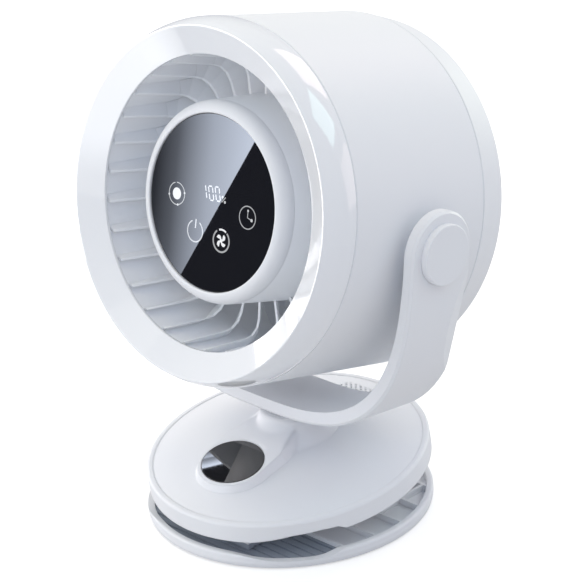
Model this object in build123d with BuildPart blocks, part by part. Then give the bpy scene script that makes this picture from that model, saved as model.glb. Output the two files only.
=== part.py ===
from build123d import *
import math
import os

os.makedirs("parts", exist_ok=True)

# Clip-on air circulator: a drum-shaped head in a U-shaped yoke, which swivels on the
# post of a round spring clip. Millimetres, +Z up, the front faces -Y.
# Origin: centre of the lower jaw, on the surface it stands on.

# ---- Fits
RUN_FIT = 0.05          # radial clearance of a turning shaft
SNUG_FIT = 0.02         # radial clearance of a fixed pin or screw
SEAT_GAP = 0.1          # between fixed pieces that meet at a lap or a ledge
MOVE_GAP = 0.3          # between faces of different moving bodies
THREAD_R = 2.0          # M4 screws of the pivots and the swivel
SMALL_SCREW_R = 1.2     # self-tapping case screws
SMALL_HEAD_R = 2.3
SMALL_HEAD_T = 1.4
SCREW_CLEAR = 0.2       # radial clearance of a screw through the piece it holds

# ---- Placement at rest
BARREL_R = 92.0
DRUM_LIFT = 77.5        # height left under the drum for the yoke, the post and the clip
DRUM_Z = BARREL_R + DRUM_LIFT   # station 0 of the drum's axis, above the table
DRUM_Y = 10.7           # and behind the centre of the base
HEAD_TILT = 13.6        # the head looks up by this much
PIVOT_DROP = 6.2        # tilt pivots below the drum's axis
PIVOT_BACK = 5.4        # and behind its station 0
YOKE_LEAN = 7.1         # the yoke leans back
PAN_Y = 6.5             # swivel axis behind the centre of the base
JAW_Z = 32.2            # centre of the upper jaw's rim ridge
JAW_TILT = 6.8          # the rear of the closed upper jaw stands up

# ---- Casing of the head: radii about its axis, stations along it towards the front
CASE_WALL = 2.4
FRONT_PARTING = 44.6
REAR_PARTING = -47.0
PARTING_GROOVE = 0.5
RIDGE_INSET = 4.3       # the bezel's sharp ridge stands inside the barrel's radius
RIDGE_R = BARREL_R - RIDGE_INSET
RIDGE_S = 63.5
FUNNEL_W = 14.1         # width of the glossy funnel from the ridge in to the lip
LIP_R = RIDGE_R - FUNNEL_W
LIP_S = 56.4
LIP_T = 1.4
REAR_INSET = 4.4        # taper of the rear band
REAR_R = BARREL_R - REAR_INSET
REAR_S = -67.6
REAR_ROUND = 4.0
LEDGE_W = 2.2           # ledges inside the barrel that carry the duct and the shroud
LEDGE_S = 35.4
LEDGE_T = 2.4
FLANGE_T = 2.0

# ---- Duct, guide vanes and hub
LIP_LAP = 2.8           # the duct's wall stands behind the lip
DUCT_R = LIP_R + LIP_LAP
DUCT_WALL = 2.0
DUCT_FRONT_S = 54.4
DUCT_REAR_S = 1.8
VANE_COUNT = 30
VANE_T = 1.6
VANE_PEEP = 0.4         # the vanes' edges show past the lip
VANE_TIP_R = LIP_R - VANE_PEEP
VANE_HEEL_R = VANE_TIP_R - 2.2  # inner edge of a vane where its bend starts
VANE_HEEL_S = 25.0
VANE_BEND_R = 9.0
VANE_DEPTH = 12.5       # depth of the radial part along the axis
VANE_LEAN = 42.0        # the faces lean round the axis by this angle
AIRWAY_W = 23.4         # width of the ring the air leaves by
HUB_REAR_R = DUCT_R - AIRWAY_W
HUB_DRAFT = 2.2
HUB_FRONT_R = HUB_REAR_R - HUB_DRAFT
HUB_FRONT_S = 44.6
HUB_WALL = 2.2
COLLAR_WALL = 1.4       # the vanes grow from a collar let into the hub, flush with it
COLLAR_S = 17.0         # front end of the collar
BULKHEAD_T = 2.6

# ---- Display
GLASS_INSET = 6.4
GLASS_R = HUB_FRONT_R - GLASS_INSET
GLASS_T = 2.0
GLASS_S = 51.2
TRIM_BEAD_R = GLASS_R + 2.6
TRIM_BEAD_S = 52.4
TRIM_DEPTH = 6.0
BOARD_T = 1.6
DISPLAY_BOARD_R = GLASS_R - 2.4
DISPLAY_BOARD_S = 42.6
SEGMENT_BLOCK = (27.0, 13.0)
TOUCH_PAD_R = 4.0
TOUCH_POINTS = ((-21.0, 6.0), (-9.0, -13.0), (8.0, -17.0), (21.0, 2.0))
DRIVER_BOARD_R = DISPLAY_BOARD_R - 4.0
DRIVER_BOARD_S = 27.0
BOARD_SCREW_RING_R = DRIVER_BOARD_R - 5.0
DRIVER_SCREW_RING_R = 15.0

# ---- Motor and impeller
BRACKET_R = 30.0
BRACKET_T = 2.0
BRACKET_SCREW_RING_R = 25.0
TUBE_R = 6.4
TUBE_REAR_S = -22.0
BEARING_R = 5.0
BEARING_W = 4.0
SHAFT_R = 2.0
SHAFT_FRONT_S = 5.4
SHAFT_REAR_S = -36.0
STATOR_R = 18.5
STATOR_FRONT_S = -5.0
STATOR_T = 11.0
SLOT_COUNT = 9
TOOTH_W = 5.0
YOKE_RING_R = 9.5
TOOTH_TIP_T = 1.8
AIR_GAP = 0.7
MAGNET_T = 2.4
BELL_WALL = 1.5
BELL_FRONT_S = -3.6
BELL_REAR_S = -26.0
IMPELLER_HUB_R = HUB_REAR_R - 4.0
IMPELLER_TIP_GAP = 1.2
IMPELLER_TIP_R = DUCT_R - IMPELLER_TIP_GAP
IMPELLER_FRONT_S = -2.4
IMPELLER_REAR_S = -34.0
IMPELLER_WALL = 2.0
BLADE_COUNT = 7
BLADE_T = 2.2
BLADE_ROOT_ANGLE = 48.0
BLADE_TIP_ANGLE = 62.0
NUT_R = 4.0
NUT_T = 3.0

# ---- Rear grille
GRILLE_T = 2.4
GRILLE_MARGIN = 7.6
GRILLE_RINGS = ((22.0, 38.0, 18), (42.0, 60.0, 36), (64.0, REAR_R - GRILLE_MARGIN, 48))
GRILLE_SLOT_W = 4.2

# ---- Yoke
ARM_CLEAR = 5.8         # between the drum and each arm
ARM_INNER_X = BARREL_R + ARM_CLEAR
ARM_T = 5.8
YOKE_BASE_T = 7.2
YOKE_CLEAR = 5.3
YOKE_DEPTH = BARREL_R + YOKE_CLEAR  # pivots down to the inside of the yoke's bottom
YOKE_BEND_TOP = 11.0    # the arms are straight down to this height above the pivots
YOKE_ROUNDNESS = 3.0    # exponent of the superellipse below it
YOKE_W = 42.3
YOKE_BEVEL = 1.3
SCOOP_TOP = -8.0        # the flat cut on each arm's rear edge starts this far below the pivots
SCOOP_SLOPE = 0.215     # and leans in towards the bottom
SCOOP_FLARE = 0.36      # and towards the rear
TRUNNION_R = 6.0
BOSS_R = 14.0
WASHER_T = 0.8
COUNTERBORE_R = 12.5
COUNTERBORE_D = 3.0
PIVOT_HEAD_R = 8.0
PIVOT_HEAD_T = 1.6
PIVOT_SCREW_L = 14.0
CAP_R = 15.3
CAP_PROUD = 3.6
CAP_PLUG = 1.0
CAP_EDGE = 0.6

# ---- Swivel in the post
SPIGOT_R = 8.0
SWIVEL_DISC_R = 13.4
POST_LIP_R = 18.2
POST_TOP_Z = 53.6
POST_RECESS_R = 14.6
POST_RECESS_D = 2.8
POST_PLATE_T = 3.2
POST_BORE_R = 13.5
POST_FLARE = ((16.8, 51.6), (23.6, 43.6), (42.0, 33.4))
SWIVEL_WASHER_T = 0.8
RETAINER_R = 12.0
RETAINER_T = 1.5
SWIVEL_SCREW_L = 12.0
SWIVEL_HEAD_T = 2.4

# ---- Upper jaw: heights above the ridge plane of its rim
UPPER_R = 75.0
RIM_H = 10.4
RIM_WALL = 3.2
RIM_ROUND = 1.6
RIM_BEAD = 2.0
BEAD_STEP = 0.4
DOME_H = 10.5
JAW_WALL = 2.2
RELIEF = ((-65.0, 0.0), (-52.0, 2.7), (-40.0, 3.0), (-33.0, 2.4), (-29.0, 0.0))
PLATE_TOP = -5.0
PLATE_T = 2.2

# ---- Tongue with the oval button, on its own plane across the upper jaw
TONGUE_V = -38.1        # centre of the button along the jaw
TONGUE_H = 10.6
TONGUE_TILT = 10.4
BUTTON_A = 18.3         # half-width of the button's opening
BUTTON_B = 15.7         # half-length of the button's opening
BUTTON_CLEAR = 0.35
BUTTON_FLANGE = 0.7
BUTTON_FLANGE_T = 1.2
BUTTON_PROUD = 0.2
BUTTON_STEM_R = 3.0
BUTTON_TRAVEL = 0.8
TONGUE_MARGIN_X = 1.6
TONGUE_MARGIN_Y = 2.3
TONGUE_NECK_X = 11.5
TONGUE_DRAFT = 30.0
TONGUE_DROP = 13.0
TONGUE_SHOULDER = 16.0
TONGUE_BACK = 42.0
TONGUE_WALL = 2.2
TONGUE_SIDE_WALL = 1.6
TONGUE_CAVITY_BACK = 17.0

# ---- Grip dimples behind the post
DIMPLE_R = 0.7
DIMPLE_PITCH = 3.6
DIMPLE_ROWS = 4
DIMPLE_V = 61.0
DIMPLE_DEPTH = 0.8

# ---- Inside the upper jaw
BATTERY = (50.0, 50.0, 7.0)
BATTERY_V = 17.0
BATTERY_ROUND = 3.0
BASE_BOARD = (34.0, 22.0)
BASE_BOARD_T = 1.2
BOARD_POST_X = 13.0
BOARD_POST_R = 2.6
BOARD_PIN_R = 1.1
SWITCH_SIDE = 6.0
SWITCH_H = 3.5
SWITCH_TIP_R = 1.6
SWITCH_TIP_H = 1.0
SWITCH_WELL = 2.2
SWITCH_DEPTH = 6.3      # tip of the switch below the tongue's face
SOCKET = (8.9, 7.4, 3.2)
SOCKET_H = -3.0
SOCKET_WALL = 0.3
SOCKET_TONGUE_T = 0.7
SOCKET_CLEAR = 0.15
SOCKET_BOARD = (22.0, 14.0)
JAW_SCREW_RING_R = 64.0
JAW_SCREW_ANGLES = (20.0, 160.0, 215.0, 325.0)
SCREW_BOSS_R = 3.4
SCREW_L = 8.0

# ---- Clip hinge
HINGE_Y = 12.0
HINGE_Z = 14.0
HINGE_PIN_R = 2.0
LUG_R = 4.4
UPPER_LUG_X = (21.0, 25.6)
LOWER_LUG_X = (26.0, 30.0)
SPRING_X = 6.0          # start of the coil from the middle
SPRING_WIRE_R = 0.8
SPRING_R = 4.4
SPRING_PITCH = 2.2
SPRING_TURNS = 4        # full turns before the half turn that brings the second leg on top
SPRING_LEG = 22.0
SPRING_SEAT = (4.0, 8.0)

# ---- Lower jaw
LOWER_R = 75.5
LOWER_TOP = 7.5
LOWER_WALL = 3.6
LOWER_FLOOR = 2.4
LOWER_ROUND = 1.2
FOOT_PROUD = 0.6
FOOT_T = 2.0
FOOT_R = 66.0
DIP = ((-71.0, 7.5), (-62.0, 5.6), (-50.0, 4.8), (-37.0, 5.2), (-27.0, 7.5))
RIB_T = 1.6
RIB_TOP = 6.4
CROSS_RIBS = (-27.0, -8.5, 10.0, 28.5, 47.0)
LONG_RIBS = (-52.0, -18.0, 18.0, 52.0)
LONG_RIB_FRONT = 10.0
LOWER_PAD_T = 1.2
PAD_GROOVE_W = 1.2
PAD_GROOVE_D = 0.6
PAD_PITCH = 5.0
PAD_FRONT = -58.0
PAD_REAR = -34.0
PAD_HALF_X = 28.0
UPPER_PAD_T = 3.0


# ---- Frames: each body's own plane and the half-section plane through its axis
def leaning_plane(origin, normal):
    """Plane across the object whose X is the object's +X."""
    return Plane(origin=origin, x_dir=(1, 0, 0), z_dir=normal)


def section_of(plane):
    """Half-section plane: local X is the radius, local Y runs along the plane's normal."""
    return Plane(origin=plane.origin, x_dir=plane.x_dir, z_dir=plane.y_dir * -1)


tilt = math.radians(HEAD_TILT)
lean = math.radians(JAW_TILT)
head = leaning_plane((0, DRUM_Y, DRUM_Z), (0, -math.cos(tilt), math.sin(tilt)))
pivot = head.from_local_coords((0, -PIVOT_DROP, -PIVOT_BACK))
yoke_lean = math.radians(YOKE_LEAN)
yoke_front = leaning_plane(pivot, (0, -math.cos(yoke_lean), math.sin(yoke_lean)))
jaw = leaning_plane((0, 0, JAW_Z), (0, -math.sin(lean), math.cos(lean)))
base = Plane.XY
pan = leaning_plane((0, PAN_Y, 0), (0, 0, 1))
tongue_lean = math.radians(TONGUE_TILT)
tongue_normal = jaw.z_dir * math.cos(tongue_lean) - jaw.y_dir * math.sin(tongue_lean)
tongue = leaning_plane(jaw.from_local_coords((0, TONGUE_V, TONGUE_H)), tongue_normal)
jaw_side = Plane(origin=jaw.origin, x_dir=jaw.y_dir, z_dir=(1, 0, 0))
hinge = Plane(origin=(0, HINGE_Y, HINGE_Z), x_dir=(0, 1, 0), z_dir=(1, 0, 0))


def side_plane(side, x):
    """Plane square to X, facing outwards, on the pivots' axis; side is +1 or -1."""
    return Plane(origin=pivot + Vector(side * x, 0, 0), x_dir=yoke_front.z_dir * -1, z_dir=(side, 0, 0))


def axis_of(plane):
    return Axis(plane.origin, plane.z_dir)


def half_section(plane, points):
    """Closed profile of (radius, station) corners, ready to be turned about the plane's axis."""
    with BuildSketch(section_of(plane)) as sketch:
        with BuildLine():
            Polyline(*points, close=True)
        make_face()
    return sketch.sketch


def ring_section(plane, r_in, r_out, s_low, s_high):
    """Profile of a plain ring."""
    return half_section(plane, [(r_in, s_low), (r_out, s_low), (r_out, s_high), (r_in, s_high)])


def disc(plane, radius, s_low):
    """Circle on a plane parallel to the given one."""
    with BuildSketch(plane.offset(s_low)) as sketch:
        Circle(radius)
    return sketch.sketch


def strip(corners):
    """Flat face through four corners."""
    with BuildLine() as outline:
        Polyline(*corners, close=True)
    return Face(outline.wire())


def keep(part, name):
    """Name a finished piece and write it out."""
    part.label = name
    export_step(part, f"parts/{name}.step")


# =====================================================================================
# Head: casing
# =====================================================================================
case_in = BARREL_R - CASE_WALL
skirt_out = case_in - SEAT_GAP
flange_out = case_in - SEAT_GAP
ledge_in = case_in - LEDGE_W
boss_end_x = ARM_INNER_X - WASHER_T - RUN_FIT
arm_out_x = ARM_INNER_X + ARM_T
counterbore_x = arm_out_x - COUNTERBORE_D
stub_end_x = counterbore_x - RUN_FIT

with BuildPart() as front_ring:
    # Bezel: rounded outside, sharp ridge, glossy funnel down to the lip, skirt into the barrel
    with BuildSketch(section_of(head)):
        with BuildLine():
            Line((BARREL_R - PARTING_GROOVE, FRONT_PARTING), (BARREL_R, FRONT_PARTING + PARTING_GROOVE))
            ThreePointArc((BARREL_R, FRONT_PARTING + PARTING_GROOVE),
                          (BARREL_R - 1.1, FRONT_PARTING + 12.0), (RIDGE_R + 0.4, RIDGE_S))
            Line((RIDGE_R + 0.4, RIDGE_S), (RIDGE_R - 0.4, RIDGE_S))
            Line((RIDGE_R - 0.4, RIDGE_S), (LIP_R, LIP_S))
            Line((LIP_R, LIP_S), (LIP_R, LIP_S - LIP_T))
            Line((LIP_R, LIP_S - LIP_T), (DUCT_R + DUCT_WALL + SEAT_GAP, LIP_S - LIP_T))
            Line((DUCT_R + DUCT_WALL + SEAT_GAP, LIP_S - LIP_T), (RIDGE_R - 1.4, RIDGE_S - 3.4))
            Line((RIDGE_R - 1.4, RIDGE_S - 3.4), (skirt_out - CASE_WALL, FRONT_PARTING))
            Line((skirt_out - CASE_WALL, FRONT_PARTING),
                 (skirt_out - CASE_WALL, LEDGE_S + FLANGE_T + 2 * SEAT_GAP))
            Line((skirt_out - CASE_WALL, LEDGE_S + FLANGE_T + 2 * SEAT_GAP),
                 (skirt_out, LEDGE_S + FLANGE_T + 2 * SEAT_GAP))
            Line((skirt_out, LEDGE_S + FLANGE_T + 2 * SEAT_GAP), (skirt_out, FRONT_PARTING))
            Line((skirt_out, FRONT_PARTING), (BARREL_R - PARTING_GROOVE, FRONT_PARTING))
        make_face()
    revolve(axis=axis_of(head))
keep(front_ring.part, "front_ring")

rear_ledge = -LEDGE_S - LEDGE_T
with BuildPart() as barrel:
    # Casing tube with a ledge near each end, and a boss and trunnion on each side
    revolve(half_section(head, [
        (case_in, REAR_PARTING), (BARREL_R - PARTING_GROOVE, REAR_PARTING),
        (BARREL_R, REAR_PARTING + PARTING_GROOVE), (BARREL_R, FRONT_PARTING - PARTING_GROOVE),
        (BARREL_R - PARTING_GROOVE, FRONT_PARTING), (case_in, FRONT_PARTING)]), axis=axis_of(head))
    for side in (1, -1):
        with BuildSketch(side_plane(side, ledge_in)):
            Circle(BOSS_R)
        extrude(amount=boss_end_x - ledge_in)
        with BuildSketch(side_plane(side, ledge_in)):
            Circle(TRUNNION_R)
        extrude(amount=stub_end_x - ledge_in)
        with BuildSketch(side_plane(side, ledge_in)):
            Circle(THREAD_R + SNUG_FIT)
        extrude(amount=stub_end_x - ledge_in, mode=Mode.SUBTRACT)
    revolve(ring_section(head, ledge_in, case_in + 1.0, LEDGE_S - LEDGE_T, LEDGE_S), axis=axis_of(head))
    revolve(ring_section(head, ledge_in, case_in + 1.0, rear_ledge, rear_ledge + LEDGE_T), axis=axis_of(head))
keep(barrel.part, "barrel")

rear_skirt_s = rear_ledge - FLANGE_T - 2 * SEAT_GAP
with BuildPart() as rear_cover:
    # Tapered band, skirt into the barrel and slotted intake grille
    with BuildSketch(section_of(head)):
        with BuildLine():
            Line((BARREL_R - PARTING_GROOVE, REAR_PARTING), (BARREL_R, REAR_PARTING - PARTING_GROOVE))
            Line((BARREL_R, REAR_PARTING - PARTING_GROOVE), (REAR_R + 1.2, REAR_S + REAR_ROUND))
            ThreePointArc((REAR_R + 1.2, REAR_S + REAR_ROUND), (REAR_R - 0.6, REAR_S + 1.2),
                          (REAR_R - REAR_ROUND, REAR_S))
            Line((REAR_R - REAR_ROUND, REAR_S), (0, REAR_S))
            Line((0, REAR_S), (0, REAR_S + GRILLE_T))
            Line((0, REAR_S + GRILLE_T), (REAR_R - REAR_ROUND, REAR_S + GRILLE_T))
            Line((REAR_R - REAR_ROUND, REAR_S + GRILLE_T), (skirt_out - CASE_WALL, REAR_PARTING))
            Line((skirt_out - CASE_WALL, REAR_PARTING), (skirt_out - CASE_WALL, rear_skirt_s))
            Line((skirt_out - CASE_WALL, rear_skirt_s), (skirt_out, rear_skirt_s))
            Line((skirt_out, rear_skirt_s), (skirt_out, REAR_PARTING))
            Line((skirt_out, REAR_PARTING), (BARREL_R - PARTING_GROOVE, REAR_PARTING))
        make_face()
    revolve(axis=axis_of(head))
    with BuildSketch(head.offset(REAR_S)):
        for ring_in, ring_out, count in GRILLE_RINGS:
            with PolarLocations((ring_in + ring_out) / 2, count):
                SlotOverall(ring_out - ring_in, GRILLE_SLOT_W * ring_in / GRILLE_RINGS[-1][0] + 0.8)
    extrude(amount=GRILLE_T, mode=Mode.SUBTRACT)
keep(rear_cover.part, "rear_cover")

# =====================================================================================
# Head: duct, vanes and hub
# =====================================================================================
shroud_rear = rear_ledge - SEAT_GAP - FLANGE_T
with BuildPart() as fan_shroud:
    # Tube round the impeller with the flange that seats on the barrel's rear ledge
    revolve(half_section(head, [
        (DUCT_R, DUCT_REAR_S - SEAT_GAP), (DUCT_R, shroud_rear), (flange_out, shroud_rear),
        (flange_out, shroud_rear + FLANGE_T), (DUCT_R + DUCT_WALL, shroud_rear + FLANGE_T),
        (DUCT_R + DUCT_WALL, DUCT_REAR_S - SEAT_GAP)]), axis=axis_of(head))
keep(fan_shroud.part, "fan_shroud")


def vane_section(r, s, out_r, out_s, depth):
    """Section of one vane at a point of its inner edge: a leaning strip, seen along the edge.

    (out_r, out_s) points from the inner edge towards the wall, and the strip leans
    clockwise round the axis, seen from the front, as it goes that way.
    """
    shift = -depth * math.tan(math.radians(VANE_LEAN))
    corners = [
        (r, VANE_T / 2, s),
        (r, -VANE_T / 2, s),
        (r + out_r * depth, shift - VANE_T / 2, s + out_s * depth),
        (r + out_r * depth, shift + VANE_T / 2, s + out_s * depth)]
    return strip(corners)


wall_mid = DUCT_R + DUCT_WALL / 2
with BuildPart() as rib:
    loft([vane_section(VANE_TIP_R, DUCT_FRONT_S - 1.0, 1, 0, wall_mid - VANE_TIP_R),
          vane_section(VANE_HEEL_R, VANE_HEEL_S + SEAT_GAP, 1, 0, wall_mid - VANE_HEEL_R)], ruled=True)

with BuildPart() as air_duct:
    # Duct wall with its flange; each rib carries a vane's edge forward to the lip
    with Locations(head):
        with PolarLocations(0, VANE_COUNT):
            add(rib.part)
    revolve(half_section(head, [
        (DUCT_R, DUCT_REAR_S), (DUCT_R + DUCT_WALL, DUCT_REAR_S),
        (DUCT_R + DUCT_WALL, LEDGE_S + SEAT_GAP), (flange_out, LEDGE_S + SEAT_GAP),
        (flange_out, LEDGE_S + SEAT_GAP + FLANGE_T), (DUCT_R + DUCT_WALL, LEDGE_S + SEAT_GAP + FLANGE_T),
        (DUCT_R + DUCT_WALL, DUCT_FRONT_S), (DUCT_R, DUCT_FRONT_S)]), axis=axis_of(head))
keep(air_duct.part, "air_duct")


bulkhead_s = DUCT_REAR_S
collar_front_r = HUB_REAR_R - HUB_DRAFT * (COLLAR_S - bulkhead_s) / (HUB_FRONT_S - bulkhead_s)
collar_in = collar_front_r - COLLAR_WALL
step_r = collar_in - SEAT_GAP
step_in = step_r - HUB_WALL


def vane_sections():
    """Strips along a vane's inner edge: from the rib's end round the bend and in to the hub."""
    centre_r = VANE_HEEL_R - VANE_BEND_R
    sections = [vane_section(VANE_HEEL_R, VANE_HEEL_S, 1, 0, wall_mid - VANE_HEEL_R)]
    for turn in (30, 60, 90):
        c, s = math.cos(math.radians(turn)), math.sin(math.radians(turn))
        depth = (wall_mid - VANE_HEEL_R) * c + VANE_DEPTH * s
        sections.append(vane_section(centre_r + VANE_BEND_R * c, VANE_HEEL_S - VANE_BEND_R * s, c, -s, depth))
    sections.append(vane_section(collar_front_r - COLLAR_WALL / 2, VANE_HEEL_S - VANE_BEND_R,
                                 0, -1, VANE_DEPTH))
    return sections


with BuildPart() as vane:
    loft(vane_sections(), ruled=True)

with BuildPart() as guide_vane_grille:
    # Ring of leaning vanes that fits the duct, on a collar that fits the hub
    with Locations(head):
        with PolarLocations(0, VANE_COUNT):
            add(vane.part)
    revolve(ring_section(head, DUCT_R - SEAT_GAP, BARREL_R, bulkhead_s - BARREL_R, DUCT_FRONT_S),
            axis=axis_of(head), mode=Mode.SUBTRACT)
    revolve(half_section(head, [
        (collar_in, bulkhead_s), (HUB_REAR_R, bulkhead_s),
        (collar_front_r, COLLAR_S), (collar_in, COLLAR_S)]),
        axis=axis_of(head))
keep(guide_vane_grille.part, "guide_vane_grille")

with BuildPart() as hub_cup:
    # Display housing: drafted tube stepped in behind for the collar, closed by a bulkhead
    revolve(half_section(head, [
        (0, bulkhead_s), (step_r, bulkhead_s), (step_r, COLLAR_S + SEAT_GAP),
        (collar_front_r, COLLAR_S + SEAT_GAP),
        (HUB_FRONT_R, HUB_FRONT_S), (HUB_FRONT_R - HUB_WALL, HUB_FRONT_S),
        (collar_front_r - HUB_WALL, COLLAR_S + HUB_WALL), (step_in, COLLAR_S),
        (step_in, bulkhead_s + BULKHEAD_T),
        (0, bulkhead_s + BULKHEAD_T)]), axis=axis_of(head))
    # Posts for the two boards, with their screw holes, and the hole for the shaft's end
    with BuildSketch(head.offset(bulkhead_s)):
        with PolarLocations(BOARD_SCREW_RING_R, 4, start_angle=45):
            Circle(SCREW_BOSS_R)
    extrude(amount=DISPLAY_BOARD_S - bulkhead_s)
    with BuildSketch(head.offset(bulkhead_s)):
        with PolarLocations(DRIVER_SCREW_RING_R, 3, start_angle=90):
            Circle(SCREW_BOSS_R)
    extrude(amount=DRIVER_BOARD_S - bulkhead_s)
    with BuildSketch(head.offset(DISPLAY_BOARD_S)):
        with PolarLocations(BOARD_SCREW_RING_R, 4, start_angle=45):
            Circle(SMALL_SCREW_R + SNUG_FIT)
    extrude(amount=-SCREW_L, mode=Mode.SUBTRACT)
    with BuildSketch(head.offset(DRIVER_BOARD_S)):
        with PolarLocations(DRIVER_SCREW_RING_R, 3, start_angle=90):
            Circle(SMALL_SCREW_R + SNUG_FIT)
    extrude(amount=-SCREW_L, mode=Mode.SUBTRACT)
    with BuildSketch(head.offset(bulkhead_s)):
        Circle(SHAFT_R + 1.0)
        with PolarLocations(BRACKET_SCREW_RING_R, 3, start_angle=30):
            Circle(SMALL_SCREW_R + SNUG_FIT)
    extrude(amount=BULKHEAD_T, mode=Mode.SUBTRACT)
keep(hub_cup.part, "hub_cup")

# =====================================================================================
# Head: display and boards
# =====================================================================================
glass_seat_s = GLASS_S - GLASS_T
with BuildPart() as hub_trim_ring:
    # Rounded ring that frames the glass and plugs into the hub
    with BuildSketch(section_of(head)):
        with BuildLine():
            Line((GLASS_R + SEAT_GAP, glass_seat_s), (GLASS_R + SEAT_GAP, TRIM_BEAD_S - 0.5))
            ThreePointArc((GLASS_R + SEAT_GAP, TRIM_BEAD_S - 0.5), (GLASS_R + 0.7, TRIM_BEAD_S),
                          (GLASS_R + 1.4, TRIM_BEAD_S))
            ThreePointArc((GLASS_R + 1.4, TRIM_BEAD_S), (TRIM_BEAD_R + 2.4, TRIM_BEAD_S - 2.2),
                          (HUB_FRONT_R, TRIM_BEAD_S - TRIM_DEPTH))
            Line((HUB_FRONT_R, TRIM_BEAD_S - TRIM_DEPTH), (HUB_FRONT_R, HUB_FRONT_S + SEAT_GAP))
            Line((HUB_FRONT_R, HUB_FRONT_S + SEAT_GAP),
                 (HUB_FRONT_R - HUB_WALL - SEAT_GAP, HUB_FRONT_S + SEAT_GAP))
            Line((HUB_FRONT_R - HUB_WALL - SEAT_GAP, HUB_FRONT_S + SEAT_GAP),
                 (HUB_FRONT_R - HUB_WALL - SEAT_GAP, HUB_FRONT_S - 4.0))
            Line((HUB_FRONT_R - HUB_WALL - SEAT_GAP, HUB_FRONT_S - 4.0),
                 (HUB_FRONT_R - 2 * HUB_WALL, HUB_FRONT_S - 4.0))
            Line((HUB_FRONT_R - 2 * HUB_WALL, HUB_FRONT_S - 4.0),
                 (HUB_FRONT_R - 2 * HUB_WALL, HUB_FRONT_S + 1.4))
            Line((HUB_FRONT_R - 2 * HUB_WALL, HUB_FRONT_S + 1.4), (GLASS_R - 1.6, glass_seat_s - 1.6))
            Line((GLASS_R - 1.6, glass_seat_s - 1.6), (GLASS_R - 1.6, glass_seat_s))
            Line((GLASS_R - 1.6, glass_seat_s), (GLASS_R + SEAT_GAP, glass_seat_s))
        make_face()
    revolve(axis=axis_of(head))
keep(hub_trim_ring.part, "hub_trim_ring")

with BuildPart() as display_glass:
    extrude(disc(head, GLASS_R, glass_seat_s), amount=GLASS_T)
    chamfer(display_glass.edges().sort_by(axis_of(head))[-1:], length=0.3)
keep(display_glass.part, "display_glass")

with BuildPart() as display_board:
    with BuildSketch(head.offset(DISPLAY_BOARD_S)):
        Circle(DISPLAY_BOARD_R)
        with PolarLocations(BOARD_SCREW_RING_R, 4, start_angle=45):
            Circle(SMALL_SCREW_R + SCREW_CLEAR, mode=Mode.SUBTRACT)
    extrude(amount=BOARD_T)
keep(display_board.part, "display_board")

board_front_s = DISPLAY_BOARD_S + BOARD_T
with BuildPart() as segment_block:
    # Light block behind the digits
    with BuildSketch(head.offset(board_front_s)):
        with Locations((0, 6.0)):
            Rectangle(*SEGMENT_BLOCK)
    extrude(amount=glass_seat_s - SEAT_GAP - board_front_s)
keep(segment_block.part, "segment_block")

with BuildPart() as touch_pads:
    # Conductive foam between the board and the glass, one under each key
    with BuildSketch(head.offset(board_front_s)):
        with Locations(*TOUCH_POINTS):
            Circle(TOUCH_PAD_R)
    extrude(amount=glass_seat_s - SEAT_GAP - board_front_s)
keep(touch_pads.part, "touch_pads")

with BuildPart() as driver_board:
    with BuildSketch(head.offset(DRIVER_BOARD_S)):
        Circle(DRIVER_BOARD_R)
        with PolarLocations(DRIVER_SCREW_RING_R, 3, start_angle=90):
            Circle(SMALL_SCREW_R + SCREW_CLEAR, mode=Mode.SUBTRACT)
        with PolarLocations(BOARD_SCREW_RING_R, 4, start_angle=45):
            Circle(SCREW_BOSS_R + 0.3, mode=Mode.SUBTRACT)
    extrude(amount=BOARD_T)
keep(driver_board.part, "driver_board")

driver_front_s = DRIVER_BOARD_S + BOARD_T
with BuildPart() as driver_components:
    # Two capacitors, a choke and the driver chip
    with BuildSketch(head.offset(driver_front_s)):
        with Locations((-24, 8), (-24, -6)):
            Circle(4.0)
    extrude(amount=9.0)
    with BuildSketch(head.offset(driver_front_s)):
        with Locations((22, -6)):
            RectangleRounded(12, 12, 2)
    extrude(amount=5.0)
    with BuildSketch(head.offset(driver_front_s)):
        with Locations((0, -2)):
            Rectangle(10, 10)
    extrude(amount=1.4)
keep(driver_components.part, "driver_components")


def screws(plane, radius, count, start_angle, seat_s, length, toward=1):
    """Ring of case screws whose heads sit on the given station; toward is +1 for a front head."""
    with BuildPart() as ring:
        with BuildSketch(plane.offset(seat_s)):
            with PolarLocations(radius, count, start_angle=start_angle):
                Circle(SMALL_HEAD_R)
        extrude(amount=toward * SMALL_HEAD_T)
        with BuildSketch(plane.offset(seat_s)):
            with PolarLocations(radius, count, start_angle=start_angle):
                Circle(SMALL_SCREW_R)
        extrude(amount=-toward * length)
    return ring.part


keep(screws(head, BOARD_SCREW_RING_R, 4, 45, board_front_s, SCREW_L), "display_board_screws")
keep(screws(head, DRIVER_SCREW_RING_R, 3, 90, driver_front_s, SCREW_L), "driver_board_screws")

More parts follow.
